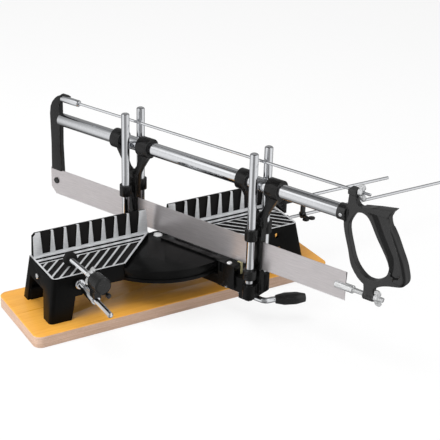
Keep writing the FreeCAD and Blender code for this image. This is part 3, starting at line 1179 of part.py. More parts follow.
stop_rod = lathe("stop_rod", [
    ("0", "0"), ("stop_rod_radius", "0"),
    ("stop_rod_radius", "table_reach + leg_flare_side - stop_rod_start"),
    ("rod_collar_radius", "table_reach + leg_flare_side - stop_rod_start"),
    ("rod_collar_radius", "table_reach + leg_flare_side - stop_rod_start + rod_collar_length"),
    ("stop_rod_radius", "table_reach + leg_flare_side - stop_rod_start + rod_collar_length"),
    ("stop_rod_radius", "stop_rod_end - stop_rod_start - 0.5"),
    ("stop_rod_radius - 0.5", "stop_rod_end - stop_rod_start"), ("0", "stop_rod_end - stop_rod_start")])
node(stop_rod, "stop_rod", ("stop_rod_start", "stop_y", "stop_rod_height"), "x")
link_low = "(link_x - link_width / 2)"
link_parts = [
    rod("link_low_boss", "link_radius", (link_low, "stop_y", "stop_rod_height"), "link_width", "x"),
    rod("link_high_boss", "link_radius", (link_low, "stop_y", "upper_rod_height"), "link_width", "x"),
    box("link_strap", (link_low, "stop_y - link_depth / 2 + 1.5", "stop_rod_height"),
        ("link_x + link_width / 2", "stop_y + link_depth / 2 - 1.5", "upper_rod_height"))]
link_cutters = [
    rod("link_low_bore", "stop_rod_radius + running_fit", (link_low + " - 1", "stop_y", "stop_rod_height"),
        "link_width + 2", "x"),
    rod("link_high_bore", "stop_rod_radius + running_fit", (link_low + " - 1", "stop_y", "upper_rod_height"),
        "link_width + 2", "x"),
    rod("link_screw_hole", "link_screw_radius + running_fit", ("link_x", "stop_y", "stop_rod_height"),
        "link_radius + 1", "-y")]
node(cut("link", fuse("link_blank", link_parts), link_cutters), "stop_link")
screw_back = "(stop_rod_radius + 0.3)"
link_bar = rod("link_bar", "link_screw_radius", ("0", "0", screw_back),
               "link_radius + link_screw_reach - " + screw_back)
link_wings = []
for sign in ("-", ""):
    link_wings.append(rod("link_wing" + ("_left" if sign else "_right"), "wing_radius",
                          (sign + "wing_offset * 0.7", "wing_thickness / 2",
                           "link_radius + link_screw_reach"),
                          "wing_thickness", "-y"))
turns["link_screw"] = Rotation(Vector(1, 0, 0), 90)
node(fuse("link_screw", [link_bar] + link_wings), "link_wing_screw", ("link_x", "stop_y", "stop_rod_height"),
     "link_screw")
upper_start = "(stop_plate_x + stop_plate_thickness)"
upper_rod = lathe("upper_rod", [
    ("0", "0"), ("stop_rod_radius", "0"), ("stop_rod_radius", "upper_rod_end - %s" % upper_start),
    ("0", "upper_rod_end - %s" % upper_start)])
node(upper_rod, "stop_upper_rod", (upper_start, "stop_y", "upper_rod_height"), "x")
plate_slab = box("stop_slab", ("stop_plate_x", "-stop_plate_front", "stop_plate_bottom"),
                 (upper_start, "-stop_plate_rear", "stop_plate_top"))
plate_boss = rod("stop_boss", "stop_boss_radius", ("stop_plate_x", "stop_y", "upper_rod_height"),
                 "stop_boss_length", "x")
plate_bore = rod("stop_boss_bore", "stop_rod_radius + 0.02", (upper_start, "stop_y", "upper_rod_height"),
                 "stop_boss_length", "x")
node(cut("stop_plate_cut", fuse("stop_plate_blank", [plate_slab, plate_boss]), [plate_bore]), "stop_plate")
plug = lathe("end_plug", [
    ("0", "-wall_thickness"), ("plug_radius", "-wall_thickness"), ("plug_radius", "0"),
    ("plug_head_radius", "0"),
    ("plug_head_radius", "plug_head * 0.5"), ("plug_head_radius * 0.6", "plug_head"), ("0", "plug_head")])
plug_share = "(table_top - stop_rod_height) / (table_top - board_thickness)"
node(plug, "end_hole_plug", ("-table_reach - leg_flare_side * %s - 0.8" % plug_share, "stop_y", "stop_rod_height"), "-x")

doc.recompute()
for thing in doc.Objects:
    if "Invalid" in thing.State or "Error" in thing.State:
        raise RuntimeError("failed object: %s (%s)" % (thing.Label, thing.State))
os.makedirs("parts", exist_ok=True)
for piece in nodes:
    shape = piece.Shape
    if shape.isNull() or not shape.isValid() or not shape.Solids:
        raise RuntimeError("bad shape: " + piece.Label)
for piece in nodes:
    piece.Shape.exportStep("parts/%s.step" % piece.Label)
    print("%-22s solids %d  volume %.0f mm3" % (piece.Label, len(piece.Shape.Solids), piece.Shape.Volume))
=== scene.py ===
import math

import bpy
from mathutils import Matrix, Vector


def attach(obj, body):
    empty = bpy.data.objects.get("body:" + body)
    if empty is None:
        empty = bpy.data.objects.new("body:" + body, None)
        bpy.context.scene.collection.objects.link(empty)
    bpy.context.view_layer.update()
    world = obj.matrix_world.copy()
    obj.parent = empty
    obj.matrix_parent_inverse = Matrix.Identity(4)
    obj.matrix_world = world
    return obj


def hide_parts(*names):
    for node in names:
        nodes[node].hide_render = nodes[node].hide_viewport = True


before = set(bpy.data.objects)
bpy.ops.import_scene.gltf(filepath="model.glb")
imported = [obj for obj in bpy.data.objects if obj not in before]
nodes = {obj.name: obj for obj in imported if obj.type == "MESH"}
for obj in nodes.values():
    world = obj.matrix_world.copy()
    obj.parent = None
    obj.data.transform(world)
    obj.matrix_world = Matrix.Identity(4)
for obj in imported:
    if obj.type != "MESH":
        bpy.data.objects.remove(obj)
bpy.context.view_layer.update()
mm = 0.001
mitre = math.radians(22.5)
sawTurn = Matrix.Rotation(mitre - math.radians(90), 4, "Z")  # from the saw's own frame to the board's
sawSide = sawTurn @ Vector((0, -1, 0))  # out of the saw's side that faces the camera
mergeGap = 1e-6
dissolveAngle = math.radians(0.6)


# picking and editing

def clearPicks():
    if bpy.context.object and bpy.context.object.mode != "OBJECT":
        bpy.ops.object.mode_set(mode="OBJECT")
    bpy.ops.object.select_all(action="DESELECT")


def pick(*pieces):
    clearPicks()
    for piece in pieces:
        piece.select_set(True)
    bpy.context.view_layer.objects.active = pieces[0]
    return pieces[0]


def editAll(piece):
    pick(piece)
    bpy.ops.object.mode_set(mode="EDIT")
    bpy.ops.mesh.select_mode(type="VERT")
    bpy.ops.mesh.select_all(action="SELECT")


def editFaces(piece, wanted):
    # edit mode with only the faces for which wanted(centre, normal) holds
    editAll(piece)
    bpy.ops.mesh.select_mode(type="FACE")
    bpy.ops.mesh.select_all(action="DESELECT")
    bpy.ops.object.mode_set(mode="OBJECT")
    for face in piece.data.polygons:
        face.select = bool(wanted(face.center, face.normal))
    bpy.ops.object.mode_set(mode="EDIT")


def editVerts(piece, wanted):
    # edit mode with only the points for which wanted(place) holds
    editAll(piece)
    bpy.ops.mesh.select_all(action="DESELECT")
    bpy.ops.object.mode_set(mode="OBJECT")
    for vert in piece.data.vertices:
        vert.select = bool(wanted(vert.co))
    bpy.ops.object.mode_set(mode="EDIT")


def objectMode():
    bpy.ops.object.mode_set(mode="OBJECT")


def named(name):
    piece = bpy.context.object
    piece.name = name
    piece.data.name = name
    return piece


def settle(piece):
    # puts the object's own place and turn into its mesh
    pick(piece)
    bpy.ops.object.transform_apply(location=True, rotation=True, scale=True)
    return piece


def modify(piece, kind, **values):
    pick(piece)
    modifier = piece.modifiers.new(kind.title(), kind)
    for name, value in values.items():
        setattr(modifier, name, value)
    bpy.ops.object.modifier_apply(modifier=modifier.name)
    return piece


def roundEdges(piece, width, steps, angle):
    return modify(piece, "BEVEL", width=width * mm, segments=steps, limit_method="ANGLE",
                  angle_limit=math.radians(angle))


def smooth(piece, angle):
    pick(piece)
    bpy.ops.object.shade_smooth_by_angle(angle=math.radians(angle))
    return piece


def joined(name, *pieces):
    pick(*pieces)
    bpy.ops.object.join()
    return named(name)


def copyOf(piece, name):
    twin = piece.copy()
    twin.data = piece.data.copy()
    twin.name = name
    twin.data.name = name
    bpy.context.scene.collection.objects.link(twin)
    return twin


def moved(piece, matrix):
    piece.data.transform(matrix)
    return piece


def pieceName(node):
    # rear_left_post -> rearLeftPost
    words = node.split("_")
    return words[0] + "".join(word.title() for word in words[1:])


def sawSpot(station, across, height):
    return sawTurn @ Vector((station * mm, across * mm, height * mm))


def placed(spot, tilt, axis, turn=0.0, base=Matrix.Identity(4)):
    # matrix for a piece drawn along +Z: its turn about itself, then its tilt, then its way to spot in mm
    return (base @ Matrix.Translation(Vector(spot) * mm) @ Matrix.Rotation(math.radians(tilt), 4, axis)
            @ Matrix.Rotation(math.radians(turn), 4, "Z"))


def aimed(start, way, turn):
    # matrix that carries a piece drawn along its own +Z to start, pointing along way
    rotation = Vector(way).to_track_quat("Z", "Y").to_matrix().to_4x4()
    return Matrix.Translation(Vector(start)) @ rotation @ Matrix.Rotation(math.radians(turn), 4, "Z")


def drawnLine(name, spots):
    # a lone point extruded from spot to spot; the piece stays in edit mode, picked all over
    clearPicks()
    bpy.ops.mesh.primitive_plane_add(size=mm, location=(0, 0, 0))
    piece = named(name)
    editAll(piece)
    bpy.ops.mesh.merge(type="CENTER")
    bpy.ops.transform.translate(value=spots[0])
    for last, spot in zip(spots, spots[1:]):
        bpy.ops.mesh.extrude_region_move(TRANSFORM_OT_translate={"value": spot - last})
    bpy.ops.mesh.select_all(action="SELECT")
    return piece


def turned(name, profile, steps):
    # lathe: a line along (radius, height) points in mm, spun about Z
    piece = drawnLine(name, [Vector((radius * mm, 0, height * mm)) for radius, height in profile])
    bpy.ops.mesh.spin(steps=steps, angle=2 * math.pi, center=(0, 0, 0), axis=(0, 0, 1))
    bpy.ops.mesh.select_all(action="SELECT")
    bpy.ops.mesh.remove_doubles(threshold=mergeGap)
    bpy.ops.mesh.normals_make_consistent(inside=False)
    objectMode()
    return piece


def prismFrom(name, points, low, high):
    # a closed outline of (station, height) points in mm, filled, then given its width
    closed = list(points) + [points[0]]
    piece = drawnLine(name, [Vector((station * mm, low * mm, height * mm)) for station, height in closed])
    bpy.ops.mesh.remove_doubles(threshold=mergeGap)
    bpy.ops.mesh.edge_face_add()
    bpy.ops.mesh.extrude_region_move(TRANSFORM_OT_translate={"value": (0, (high - low) * mm, 0)})
    bpy.ops.mesh.select_all(action="SELECT")
    bpy.ops.mesh.normals_make_consistent(inside=False)
    objectMode()
    return piece


def blockAt(name, low, high):
    # a box primitive between two corners in mm
    clearPicks()
    middle = [(a + b) / 2 * mm for a, b in zip(low, high)]
    bpy.ops.mesh.primitive_cube_add(size=1, location=middle)
    piece = named(name)
    piece.scale = [abs(b - a) * mm for a, b in zip(low, high)]
    return settle(piece)


def carve(piece, tool, operation="DIFFERENCE"):
    # boolean with a tool that is then removed
    modify(piece, "BOOLEAN", operation=operation, object=tool, solver="EXACT")
    bpy.data.objects.remove(tool)
    return piece


def castOver(piece, voxel, passes):
    # one skin over joined or carved forms, softened like a casting
    modify(piece, "REMESH", mode="VOXEL", voxel_size=voxel * mm)
    return modify(piece, "SMOOTH", factor=0.5, iterations=passes)


def nodeCopy(node, name):
    # a CAD node's mesh as a new, merged piece
    piece = copyOf(nodes[node], name)
    piece.parent = None
    piece.matrix_world = Matrix.Identity(4)
    for key in list(piece.keys()):
        del piece[key]
    editAll(piece)
    bpy.ops.mesh.remove_doubles(threshold=mergeGap)
    bpy.ops.mesh.dissolve_limited(angle_limit=dissolveAngle)
    objectMode()
    return piece


# shared effects

def newGroup(name, inputs, outputs):
    group = bpy.data.node_groups.new(name, "ShaderNodeTree")
    for label, kind, value in inputs:
        socket = group.interface.new_socket(name=label, in_out="INPUT",
                                            socket_type="NodeSocket" + kind)
        socket.default_value = value
    for label, kind in outputs:
        group.interface.new_socket(name=label, in_out="OUTPUT", socket_type="NodeSocket" + kind)
    return group, group.nodes.new("NodeGroupInput"), group.nodes.new("NodeGroupOutput")


def addNode(tree, kind, links=None, **values):
    # links: input name or number -> socket or plain value
    item = tree.nodes.new(kind)
    for name, value in values.items():
        setattr(item, name, value)
    for key, value in (links or {}).items():
        socket = item.inputs[key]
        if isinstance(value, bpy.types.NodeSocket):
            tree.links.new(value, socket)
        else:
            socket.default_value = value
    return item


def maths(tree, operation, first, second, clamp=False):
    item = addNode(tree, "ShaderNodeMath", {0: first, 1: second}, operation=operation, use_clamp=clamp)
    return item.outputs[0]


def mapRange(tree, value, low, high, newLow=0.0, newHigh=1.0):
    item = addNode(tree, "ShaderNodeMapRange",
                   {"Value": value, "From Min": low, "From Max": high, "To Min": newLow, "To Max": newHigh})
    return item.outputs["Result"]


def spread(tree, value, newLow=0.0, newHigh=1.0):
    # the span in which a noise mostly lies, drawn out
    return mapRange(tree, value, 0.3, 0.7, newLow, newHigh)


def objectSpot(tree, scale=(1, 1, 1), turn=0.0):
    coords = addNode(tree, "ShaderNodeTexCoord")
    mapping = addNode(tree, "ShaderNodeMapping", {"Vector": coords.outputs["Object"], "Scale": scale,
                                                 "Rotation": (0, 0, turn)})
    return mapping.outputs["Vector"]


def noise(tree, vector, scale, detail, rough):
    return addNode(tree, "ShaderNodeTexNoise",
                   {"Vector": vector, "Scale": scale, "Detail": detail, "Roughness": rough}).outputs["Fac"]


wearAndHighlightLook = {"flatDot": 0.995, "edgeDot": 0.8, "patchScale": 160.0, "patchFrom": 0.42, "patchTo": 0.62}


def makeEdgeWearAndHighlight():
    # mask that is 1 on outer edges: real wear for most finishes, and a painted highlight along the edges where
    # a finish gives a lighter colour and a wider radius
    group, start, end = newGroup("edgeWearAndHighlight", [("Radius", "Float", 0.0006), ("Amount", "Float", 0.5)],
                                 [("Mask", "Float")])
    bevel = addNode(group, "ShaderNodeBevel", {"Radius": start.outputs["Radius"]}, samples=4)
    plain = addNode(group, "ShaderNodeNewGeometry")
    dot = addNode(group, "ShaderNodeVectorMath", {0: bevel.outputs["Normal"], 1: plain.outputs["Normal"]},
                  operation="DOT_PRODUCT")
    edge = mapRange(group, dot.outputs["Value"], wearAndHighlightLook["flatDot"], wearAndHighlightLook["edgeDot"])
    patches = mapRange(group, noise(group, objectSpot(group), wearAndHighlightLook["patchScale"], 4.0, 0.65),
                       wearAndHighlightLook["patchFrom"], wearAndHighlightLook["patchTo"])
    wornAndHighlighted = maths(group, "MULTIPLY", edge, patches)
    group.links.new(maths(group, "MULTIPLY", wornAndHighlighted, start.outputs["Amount"], True), end.inputs["Mask"])
    return group


def makeSurfaceGrain():
    # fine lumps of a painted or cast skin, with a slow drift of tone
    group, start, end = newGroup("surfaceGrain",
                                 [("Scale", "Float", 900.0), ("Drift Scale", "Float", 30.0)],
                                 [("Height", "Float"), ("Drift", "Float")])
    spot = objectSpot(group)
    fine = noise(group, spot, start.outputs["Scale"], 2.0, 0.5)
    slow = noise(group, spot, start.outputs["Drift Scale"], 3.0, 0.55)
    group.links.new(fine, end.inputs["Height"])
    group.links.new(slow, end.inputs["Drift"])
    return group


def makeDrawnLines():
    # long thin marks left by grinding or drawing, along one axis of the mapping
    group, start, end = newGroup("drawnLines",
                                 [("Vector", "Vector", (0, 0, 0)), ("Scale", "Float", 600.0)],
                                 [("Lines", "Float"), ("Smudge", "Float")])
    lines = noise(group, start.outputs["Vector"], start.outputs["Scale"], 3.0, 0.7)
    smudge = noise(group, objectSpot(group), 24.0, 3.0, 0.6)
    group.links.new(lines, end.inputs["Lines"])
    group.links.new(smudge, end.inputs["Smudge"])
    return group


edgeWearAndHighlight = makeEdgeWearAndHighlight()
surfaceGrain = makeSurfaceGrain()
drawnLines = makeDrawnLines()


def placeGroup(tree, group, links):
    return addNode(tree, "ShaderNodeGroup", links, node_tree=group)


def newMaterial(name):
    material = bpy.data.materials.new(name)
    material.use_nodes = True
    tree = material.node_tree
    return material, tree, tree.nodes["Principled BSDF"]


def mixColours(tree, amount, first, second):
    return addNode(tree, "ShaderNodeMix", {0: amount, 6: first, 7: second}, data_type="RGBA").outputs[2]


def grey(level, tint=(1, 1, 1)):
    return tuple(level * part for part in tint) + (1,)


def bumpFrom(tree, shader, height, strength, distance):
    bump = addNode(tree, "ShaderNodeBump", {"Height": height, "Strength": strength, "Distance": distance})
    tree.links.new(bump.outputs["Normal"], shader.inputs["Normal"])


def paintFinish(name, dark, light, roughness, roughSpan, grainScale, grainBump, wearAndHighlight, grainDepth=0.0002,
                wearAndHighlightColour=grey(0.16), wearAndHighlightRadius=0.0007, shine=0.5):
    material, tree, shader = newMaterial(name)
    grain = placeGroup(tree, surfaceGrain, {"Scale": grainScale, "Drift Scale": 28.0})
    # edge colour over the outer edges: real wear for most paints, and a painted highlight for the handle's and
    # guides' paints
    wornAndHighlighted = placeGroup(tree, edgeWearAndHighlight, {"Radius": wearAndHighlightRadius, "Amount": wearAndHighlight})
    body = mixColours(tree, spread(tree, grain.outputs["Drift"]), dark, light)
    tree.links.new(mixColours(tree, wornAndHighlighted.outputs["Mask"], body, wearAndHighlightColour), shader.inputs["Base Color"])
    rough = spread(tree, grain.outputs["Drift"], roughness - roughSpan / 2, roughness + roughSpan / 2)
    tree.links.new(rough, shader.inputs["Roughness"])
    bumpFrom(tree, shader, grain.outputs["Height"], grainBump, grainDepth)
    shader.inputs["Specular IOR Level"].default_value = shine
    return material


def metalFinish(name, dark, light, roughness, roughSpan, lineScale, lineBump, stretch=(1, 1, 1), turn=0.0,
                lineDepth=0.0001, wearAndHighlight=0.0, wearAndHighlightRadius=0.0005, wearAndHighlightColour=grey(0.9), metallic=1.0):
    material, tree, shader = newMaterial(name)
    shader.inputs["Metallic"].default_value = metallic
    marks = placeGroup(tree, drawnLines, {"Vector": objectSpot(tree, stretch, turn), "Scale": lineScale})
    tone = mixColours(tree, spread(tree, marks.outputs["Lines"]), dark, light)
    if wearAndHighlight:
        wornAndHighlighted = placeGroup(tree, edgeWearAndHighlight, {"Radius": wearAndHighlightRadius, "Amount": wearAndHighlight})
        tone = mixColours(tree, wornAndHighlighted.outputs["Mask"], tone, wearAndHighlightColour)
    tree.links.new(tone, shader.inputs["Base Color"])
    smudge = spread(tree, marks.outputs["Smudge"], -roughSpan / 2, roughSpan / 2)
    tree.links.new(maths(tree, "ADD", smudge, roughness), shader.inputs["Roughness"])
    bumpFrom(tree, shader, marks.outputs["Lines"], lineBump, lineDepth)
    return material


lacquer = {
    "grainStretch": (1.0, 26.0, 26.0), "grainScale": 9.0, "grainBump": 0.08, "grainDepth": 0.0004,
    "dark": (0.76, 0.345, 0.045, 1), "light": (0.87, 0.45, 0.082, 1),
    "cloudScale": 7.0, "cloudSpan": (0.35, 0.7), "cloudShare": 0.45, "cloud": (0.70, 0.285, 0.030, 1),
    "poreStretch": (1.0, 40.0, 40.0), "poreScale": 60.0, "poreSpan": (0.6, 0.75), "poreShare": 0.35,
    "pore": (0.48, 0.19, 0.03, 1), "roughness": (0.26, 0.36), "coat": 0.35, "coatRoughness": 0.12,
}


def boardTopFinish():
    # honey lacquer over a fine straight grain along the board
    material, tree, shader = newMaterial("boardLacquer")
    grainLines = noise(tree, objectSpot(tree, lacquer["grainStretch"]), lacquer["grainScale"], 6.0, 0.6)
    pores = noise(tree, objectSpot(tree, lacquer["poreStretch"]), lacquer["poreScale"], 2.0, 0.5)
    cloud = noise(tree, objectSpot(tree), lacquer["cloudScale"], 3.0, 0.5)
    base = mixColours(tree, spread(tree, grainLines), lacquer["dark"], lacquer["light"])
    cloudMask = mapRange(tree, cloud, *lacquer["cloudSpan"], 0.0, lacquer["cloudShare"])
    base = mixColours(tree, cloudMask, base, lacquer["cloud"])
    poreMask = mapRange(tree, pores, *lacquer["poreSpan"], 0.0, lacquer["poreShare"])
    base = mixColours(tree, poreMask, base, lacquer["pore"])
    tree.links.new(base, shader.inputs["Base Color"])
    tree.links.new(spread(tree, grainLines, *lacquer["roughness"]), shader.inputs["Roughness"])
    bumpFrom(tree, shader, grainLines, lacquer["grainBump"], lacquer["grainDepth"])
    shader.inputs["Coat Weight"].default_value = lacquer["coat"]
    shader.inputs["Coat Roughness"].default_value = lacquer["coatRoughness"]
    return material


sawnWood = {
    "layerStretch": (1.0, 1.0, 30.0), "layerScale": 22.0,
    "dark": (0.50, 0.33, 0.235, 1), "light": (0.66, 0.47, 0.36, 1),
    "speckStretch": (1.0, 1.0, 1.6), "speckScale": 520.0, "speckSpan": (0.45, 0.75), "speckShare": 0.5,
    "speck": (0.36, 0.21, 0.14, 1), "roughness": (0.6, 0.8), "bump": 0.3, "bumpDepth": 0.0003,
}


def boardEdgeFinish():
    # sawn edge of the board: pale pinkish fibres in thin layers
    material, tree, shader = newMaterial("boardEdge")
    layers = noise(tree, objectSpot(tree, sawnWood["layerStretch"]), sawnWood["layerScale"], 4.0, 0.6)
    specks = noise(tree, objectSpot(tree, sawnWood["speckStretch"]), sawnWood["speckScale"], 3.0, 0.6)
    base = mixColours(tree, spread(tree, layers), sawnWood["dark"], sawnWood["light"])
    speckMask = mapRange(tree, specks, *sawnWood["speckSpan"], 0.0, sawnWood["speckShare"])
    base = mixColours(tree, speckMask, base, sawnWood["speck"])
    tree.links.new(base, shader.inputs["Base Color"])
    tree.links.new(spread(tree, specks, *sawnWood["roughness"]), shader.inputs["Roughness"])
    bumpFrom(tree, shader, specks, sawnWood["bump"], sawnWood["bumpDepth"])
    return material


boardLacquer = boardTopFinish()
boardEdge = boardEdgeFinish()
# the base levels of these black paints differ partly as painted light and shade: the table paint is darker for
# the shade on the tables' front faces, the swing paint for the disc and arm lies between, and the satin and
# guide paints are lighter for the light from the left on the saw's frame; their differing gloss is their real
# finish
blackPaint = paintFinish(
    "blackCastingPaint", grey(0.0022), grey(0.0045), roughness=0.38, roughSpan=0.14,
    grainScale=750.0, grainBump=0.12, wearAndHighlight=0.25, wearAndHighlightColour=grey(0.06), shine=0.08)
blackDeck = paintFinish(
    "blackSwingPaint", grey(0.0042), grey(0.0075), roughness=0.20, roughSpan=0.10,
    grainScale=700.0, grainBump=0.08, wearAndHighlight=0.3, wearAndHighlightColour=grey(0.06), shine=0.09)
# painted highlight: the lighter edge colour over a wide radius stands for light caught on the handle's rims
# and ridge, not for wear
blackSatin = paintFinish(
    "blackSatinPaint", grey(0.0045), grey(0.0085), roughness=0.17, roughSpan=0.10,
    grainScale=800.0, grainBump=0.08, wearAndHighlight=0.8, wearAndHighlightColour=grey(0.12), wearAndHighlightRadius=0.0016, shine=0.62)
# painted highlight: the lighter edge colour stands for light caught along the edges of the guides, bracket,
# depth stop ring and stop plate, not for wear
blackGuide = paintFinish(
    "blackGuidePaint", grey(0.005), grey(0.009), roughness=0.22, roughSpan=0.10,
    grainScale=800.0, grainBump=0.12, wearAndHighlight=0.7, wearAndHighlightColour=grey(0.10), wearAndHighlightRadius=0.0011, shine=0.3)
blackRough = paintFinish(
    "blackAsCast", (0.0062, 0.0058, 0.0060, 1), (0.015, 0.014, 0.014, 1), roughness=0.6, roughSpan=0.15,
    grainScale=420.0, grainBump=0.45, grainDepth=0.0004, wearAndHighlight=0.1, shine=0.15)
blackGrip = paintFinish(
    "blackMouldedPlastic", grey(0.009), grey(0.014), roughness=0.24, roughSpan=0.08,
    grainScale=1400.0, grainBump=0.05, wearAndHighlight=0.25, wearAndHighlightColour=grey(0.06), shine=0.4)
rubber = paintFinish(
    "blackRubber", grey(0.006), grey(0.012), roughness=0.6, roughSpan=0.1, grainScale=1100.0, grainBump=0.15,
    wearAndHighlight=0.1, wearAndHighlightColour=grey(0.04), shine=0.2)
darkPlate = metalFinish(
    "darkKerfPlate", grey(0.018), grey(0.11), roughness=0.34, roughSpan=0.16, lineScale=9.0, lineBump=0.05,
    stretch=(9, 9, 9), turn=mitre)
milled = metalFinish(
    "milledCasting", grey(0.70, (0.985, 1.0, 1.02)), grey(0.90, (0.985, 1.0, 1.02)), roughness=0.36,
    roughSpan=0.12, lineScale=60.0, lineBump=0.10, stretch=(2, 40, 40), metallic=0.55)
chrome = metalFinish(
    "brightDrawnSteel", grey(0.78, (0.975, 0.99, 1.02)), grey(0.86, (0.975, 0.99, 1.02)), roughness=0.1,
    roughSpan=0.05, lineScale=300.0, lineBump=0.015)
plated = metalFinish(
    "zincPlate", grey(0.66, (0.99, 1.0, 1.01)), grey(0.88, (0.99, 1.0, 1.01)), roughness=0.2, roughSpan=0.12,
    lineScale=500.0, lineBump=0.06, wearAndHighlight=0.3, metallic=0.8)
brightHead = metalFinish(
    "brightBoltHead", grey(0.80), grey(0.92), roughness=0.3, roughSpan=0.12, lineScale=500.0, lineBump=0.05,
    metallic=0.2)
groundBlade = metalFinish(
    "groundBladeSteel", grey(0.50, (1.0, 0.945, 0.955)), grey(0.64, (1.0, 0.945, 0.955)), roughness=0.3,
    roughSpan=0.02, lineScale=16.0, lineBump=0.0, stretch=(3, 3, 90), metallic=0.72)
darkSteel = metalFinish(
    "blackenedSteel", grey(0.04), grey(0.08), roughness=0.34, roughSpan=0.1, lineScale=400.0, lineBump=0.05,
    wearAndHighlight=0.3, wearAndHighlightColour=grey(0.3))
creamPaint = paintFinish(
    "creamPaint", (0.50, 0.45, 0.22, 1), (0.62, 0.56, 0.30, 1), roughness=0.45, roughSpan=0.1,
    grainScale=900.0, grainBump=0.08, wearAndHighlight=0.2, wearAndHighlightColour=grey(0.4))
print("materials made")


def setMaterials(piece, materials, sorter=None):
    # sorter(centre in mm, normal) gives the number of a face's material
    piece.data.materials.clear()
    for material in materials:
        piece.data.materials.append(material)
    for face in piece.data.polygons:
        face.material_index = sorter(face.center / mm, face.normal) if sorter else 0
    return piece


def enter(piece, body, slot, *replaced):
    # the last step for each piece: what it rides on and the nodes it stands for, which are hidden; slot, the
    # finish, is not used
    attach(piece, body)
    if replaced:
        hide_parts(*replaced)
    return piece


def dressed(node, name, body, slot, materials, edge, steps=2, angle=35, sorter=None, prepare=None):
    # a copy of a CAD node's mesh, merged, with rounded edges, that stands for it
    piece = nodeCopy(node, name)
    if prepare:
        prepare(piece)
    roundEdges(piece, edge, steps, angle)
    smooth(piece, angle=35)
    setMaterials(piece, materials, sorter)
    return enter(piece, body, slot, node)


# board

boardTopSlope = 0.6  # a face that points up more than this is lacquered
dressed("base_board", "baseBoard", "base", "board_wood", [boardLacquer, boardEdge], edge=0.7, steps=3,
        sorter=lambda spot, normal: 0 if normal.z > boardTopSlope else 1)

# castings

tableTop = {
    "height": 82.0, "fenceFace": 2.4, "fenceTop": 118.0, "ribEnd": 5.3,
    "milledRise": 0.6, "milledBack": 3.5,  # the milled top reaches this far up, and back to here
    "castDepth": 2.0,  # the rough strip lies at most this far below the top
    "wallRise": 0.5, "wallFrom": 1.0, "wallBack": 6.0,  # the rough wall between the fence's ribs
    "slack": 0.3, "topSlack": 0.5, "flat": 0.9, "leaning": 0.3,
}


def splitFenceTop(piece):
    # parts the rib ends from the black wall behind them on the fence's top face
    lowest = (tableTop["fenceTop"] - tableTop["topSlack"]) * mm
    editFaces(piece, lambda spot, normal: normal.z > tableTop["flat"] and spot.z > lowest)
    bpy.ops.mesh.bisect(plane_co=(0, tableTop["ribEnd"] * mm, 0), plane_no=(0, 1, 0))
    objectMode()


def tableFinish(spot, normal):
    # 0 paint, 1 milled, 2 as cast
    top, face, slack = tableTop["height"], tableTop["fenceFace"], tableTop["slack"]
    up = normal.z > tableTop["flat"]
    if up and top - slack < spot.z < top + tableTop["milledRise"] and spot.y < tableTop["milledBack"]:
        return 1
    if normal.y < -tableTop["flat"] and spot.y < face + slack and spot.z > top:
        return 1
    if up and spot.z > tableTop["fenceTop"] - tableTop["topSlack"] and spot.y < tableTop["ribEnd"]:
        return 1
    if up and top - tableTop["castDepth"] < spot.z < top - slack:
        return 2
    if (normal.y < -tableTop["leaning"] and spot.z > top + tableTop["wallRise"]
            and face + tableTop["wallFrom"] < spot.y < tableTop["wallBack"]):
        return 2
    return 0


for side in ("left", "right"):
    dressed(side + "_table_casting", side + "Table", "base", "black_casting",
            [blackPaint, milled, blackRough], edge=0.45, sorter=tableFinish, prepare=splitFenceTop)
dressed("half_disc_casting", "halfDisc", "base", "black_casting", [blackDeck], edge=0.6, steps=3)
dressed("swing_arm", "swingArm", "arm", "black_casting", [blackDeck], edge=0.6)
dressed("kerf_plate", "kerfPlate", "arm", "grey_plate", [darkPlate], edge=0.3)
dressed("angle_pointer", "anglePointer", "arm", "cream_paint", [creamPaint], edge=0.12)
dressed("rear_guide", "rearGuide", "rear_slider", "black_casting", [blackGuide], edge=0.7)
dressed("front_guide", "frontGuide", "front_slider", "black_casting", [blackGuide], edge=0.7)
dressed("rear_bracket", "rearBracket", "saw", "black_casting", [blackGuide], edge=0.8, steps=3)
dressed("depth_stop_ring", "depthStopRing", "depth_stop", "black_casting", [blackGuide], edge=0.4)
dressed("lock_lever_grip", "leverGrip", "lock_lever", "black_plastic", [blackGrip], edge=0.7, steps=3,
        angle=15)
dressed("clamp_head", "clampHead", "clamp_carrier", "black_casting", [blackGrip], edge=1.2, steps=3)
dressed("clamp_foot", "clampFoot", "clamp_ram", "black_plastic", [rubber], edge=0.8, steps=3)
dressed("stop_link", "stopLink", "stop_slider", "black_casting", [darkSteel], edge=0.4)
dressed("stop_plate", "stopPlate", "stop_reach", "black_casting", [blackGuide], edge=0.4)
print("castings dressed")

# handle: the cast grip with a pocket in each side, a thick brow above it and a ringed sleeve round its neck

handle = {
    "pocket": ((365.3, 223.2), (370.7, 214.7), (376.3, 203.5), (382.4, 192.2), (389.6, 180.2),
               (396.6, 168.2), (398.4, 159.0), (398.2, 149.5), (396.0, 142.5), (402.0, 141.0),
               (409.0, 143.0), (412.5, 150.5), (411.5, 160.0), (407.5, 172.5), (401.8, 185.5),
               (394.8, 199.5), (388.3, 212.5), (384.2, 223.0)),
    "brow": ((352.5, 224.6), (346.0, 226.2), (369.9, 231.3), (394.2, 235.5), (388.4, 228.6),
             (386.0, 222.6), (366.0, 221.6), (359.0, 219.5)),
    "browHalf": 8.0, "gripHalf": 9.0, "pocketDepth": 7.8, "pocketOver": 1.0, "voxel": 0.7, "passes": 4,
    "slantPoints": 8, "slant": 18.0,  # the points along the finger opening, and how far their outer ends lean
    "sameSpot": 1e-5,
    "sleeve": {"start": 358.3, "height": 101.5, "radius": 6.5, "bore": 3.6, "length": 15.4, "steps": 40,
               "rings": 5, "firstRing": 0.6, "pitch": 2.9, "rise": 0.45, "ring": (0.4, 1.1, 1.5)},
}


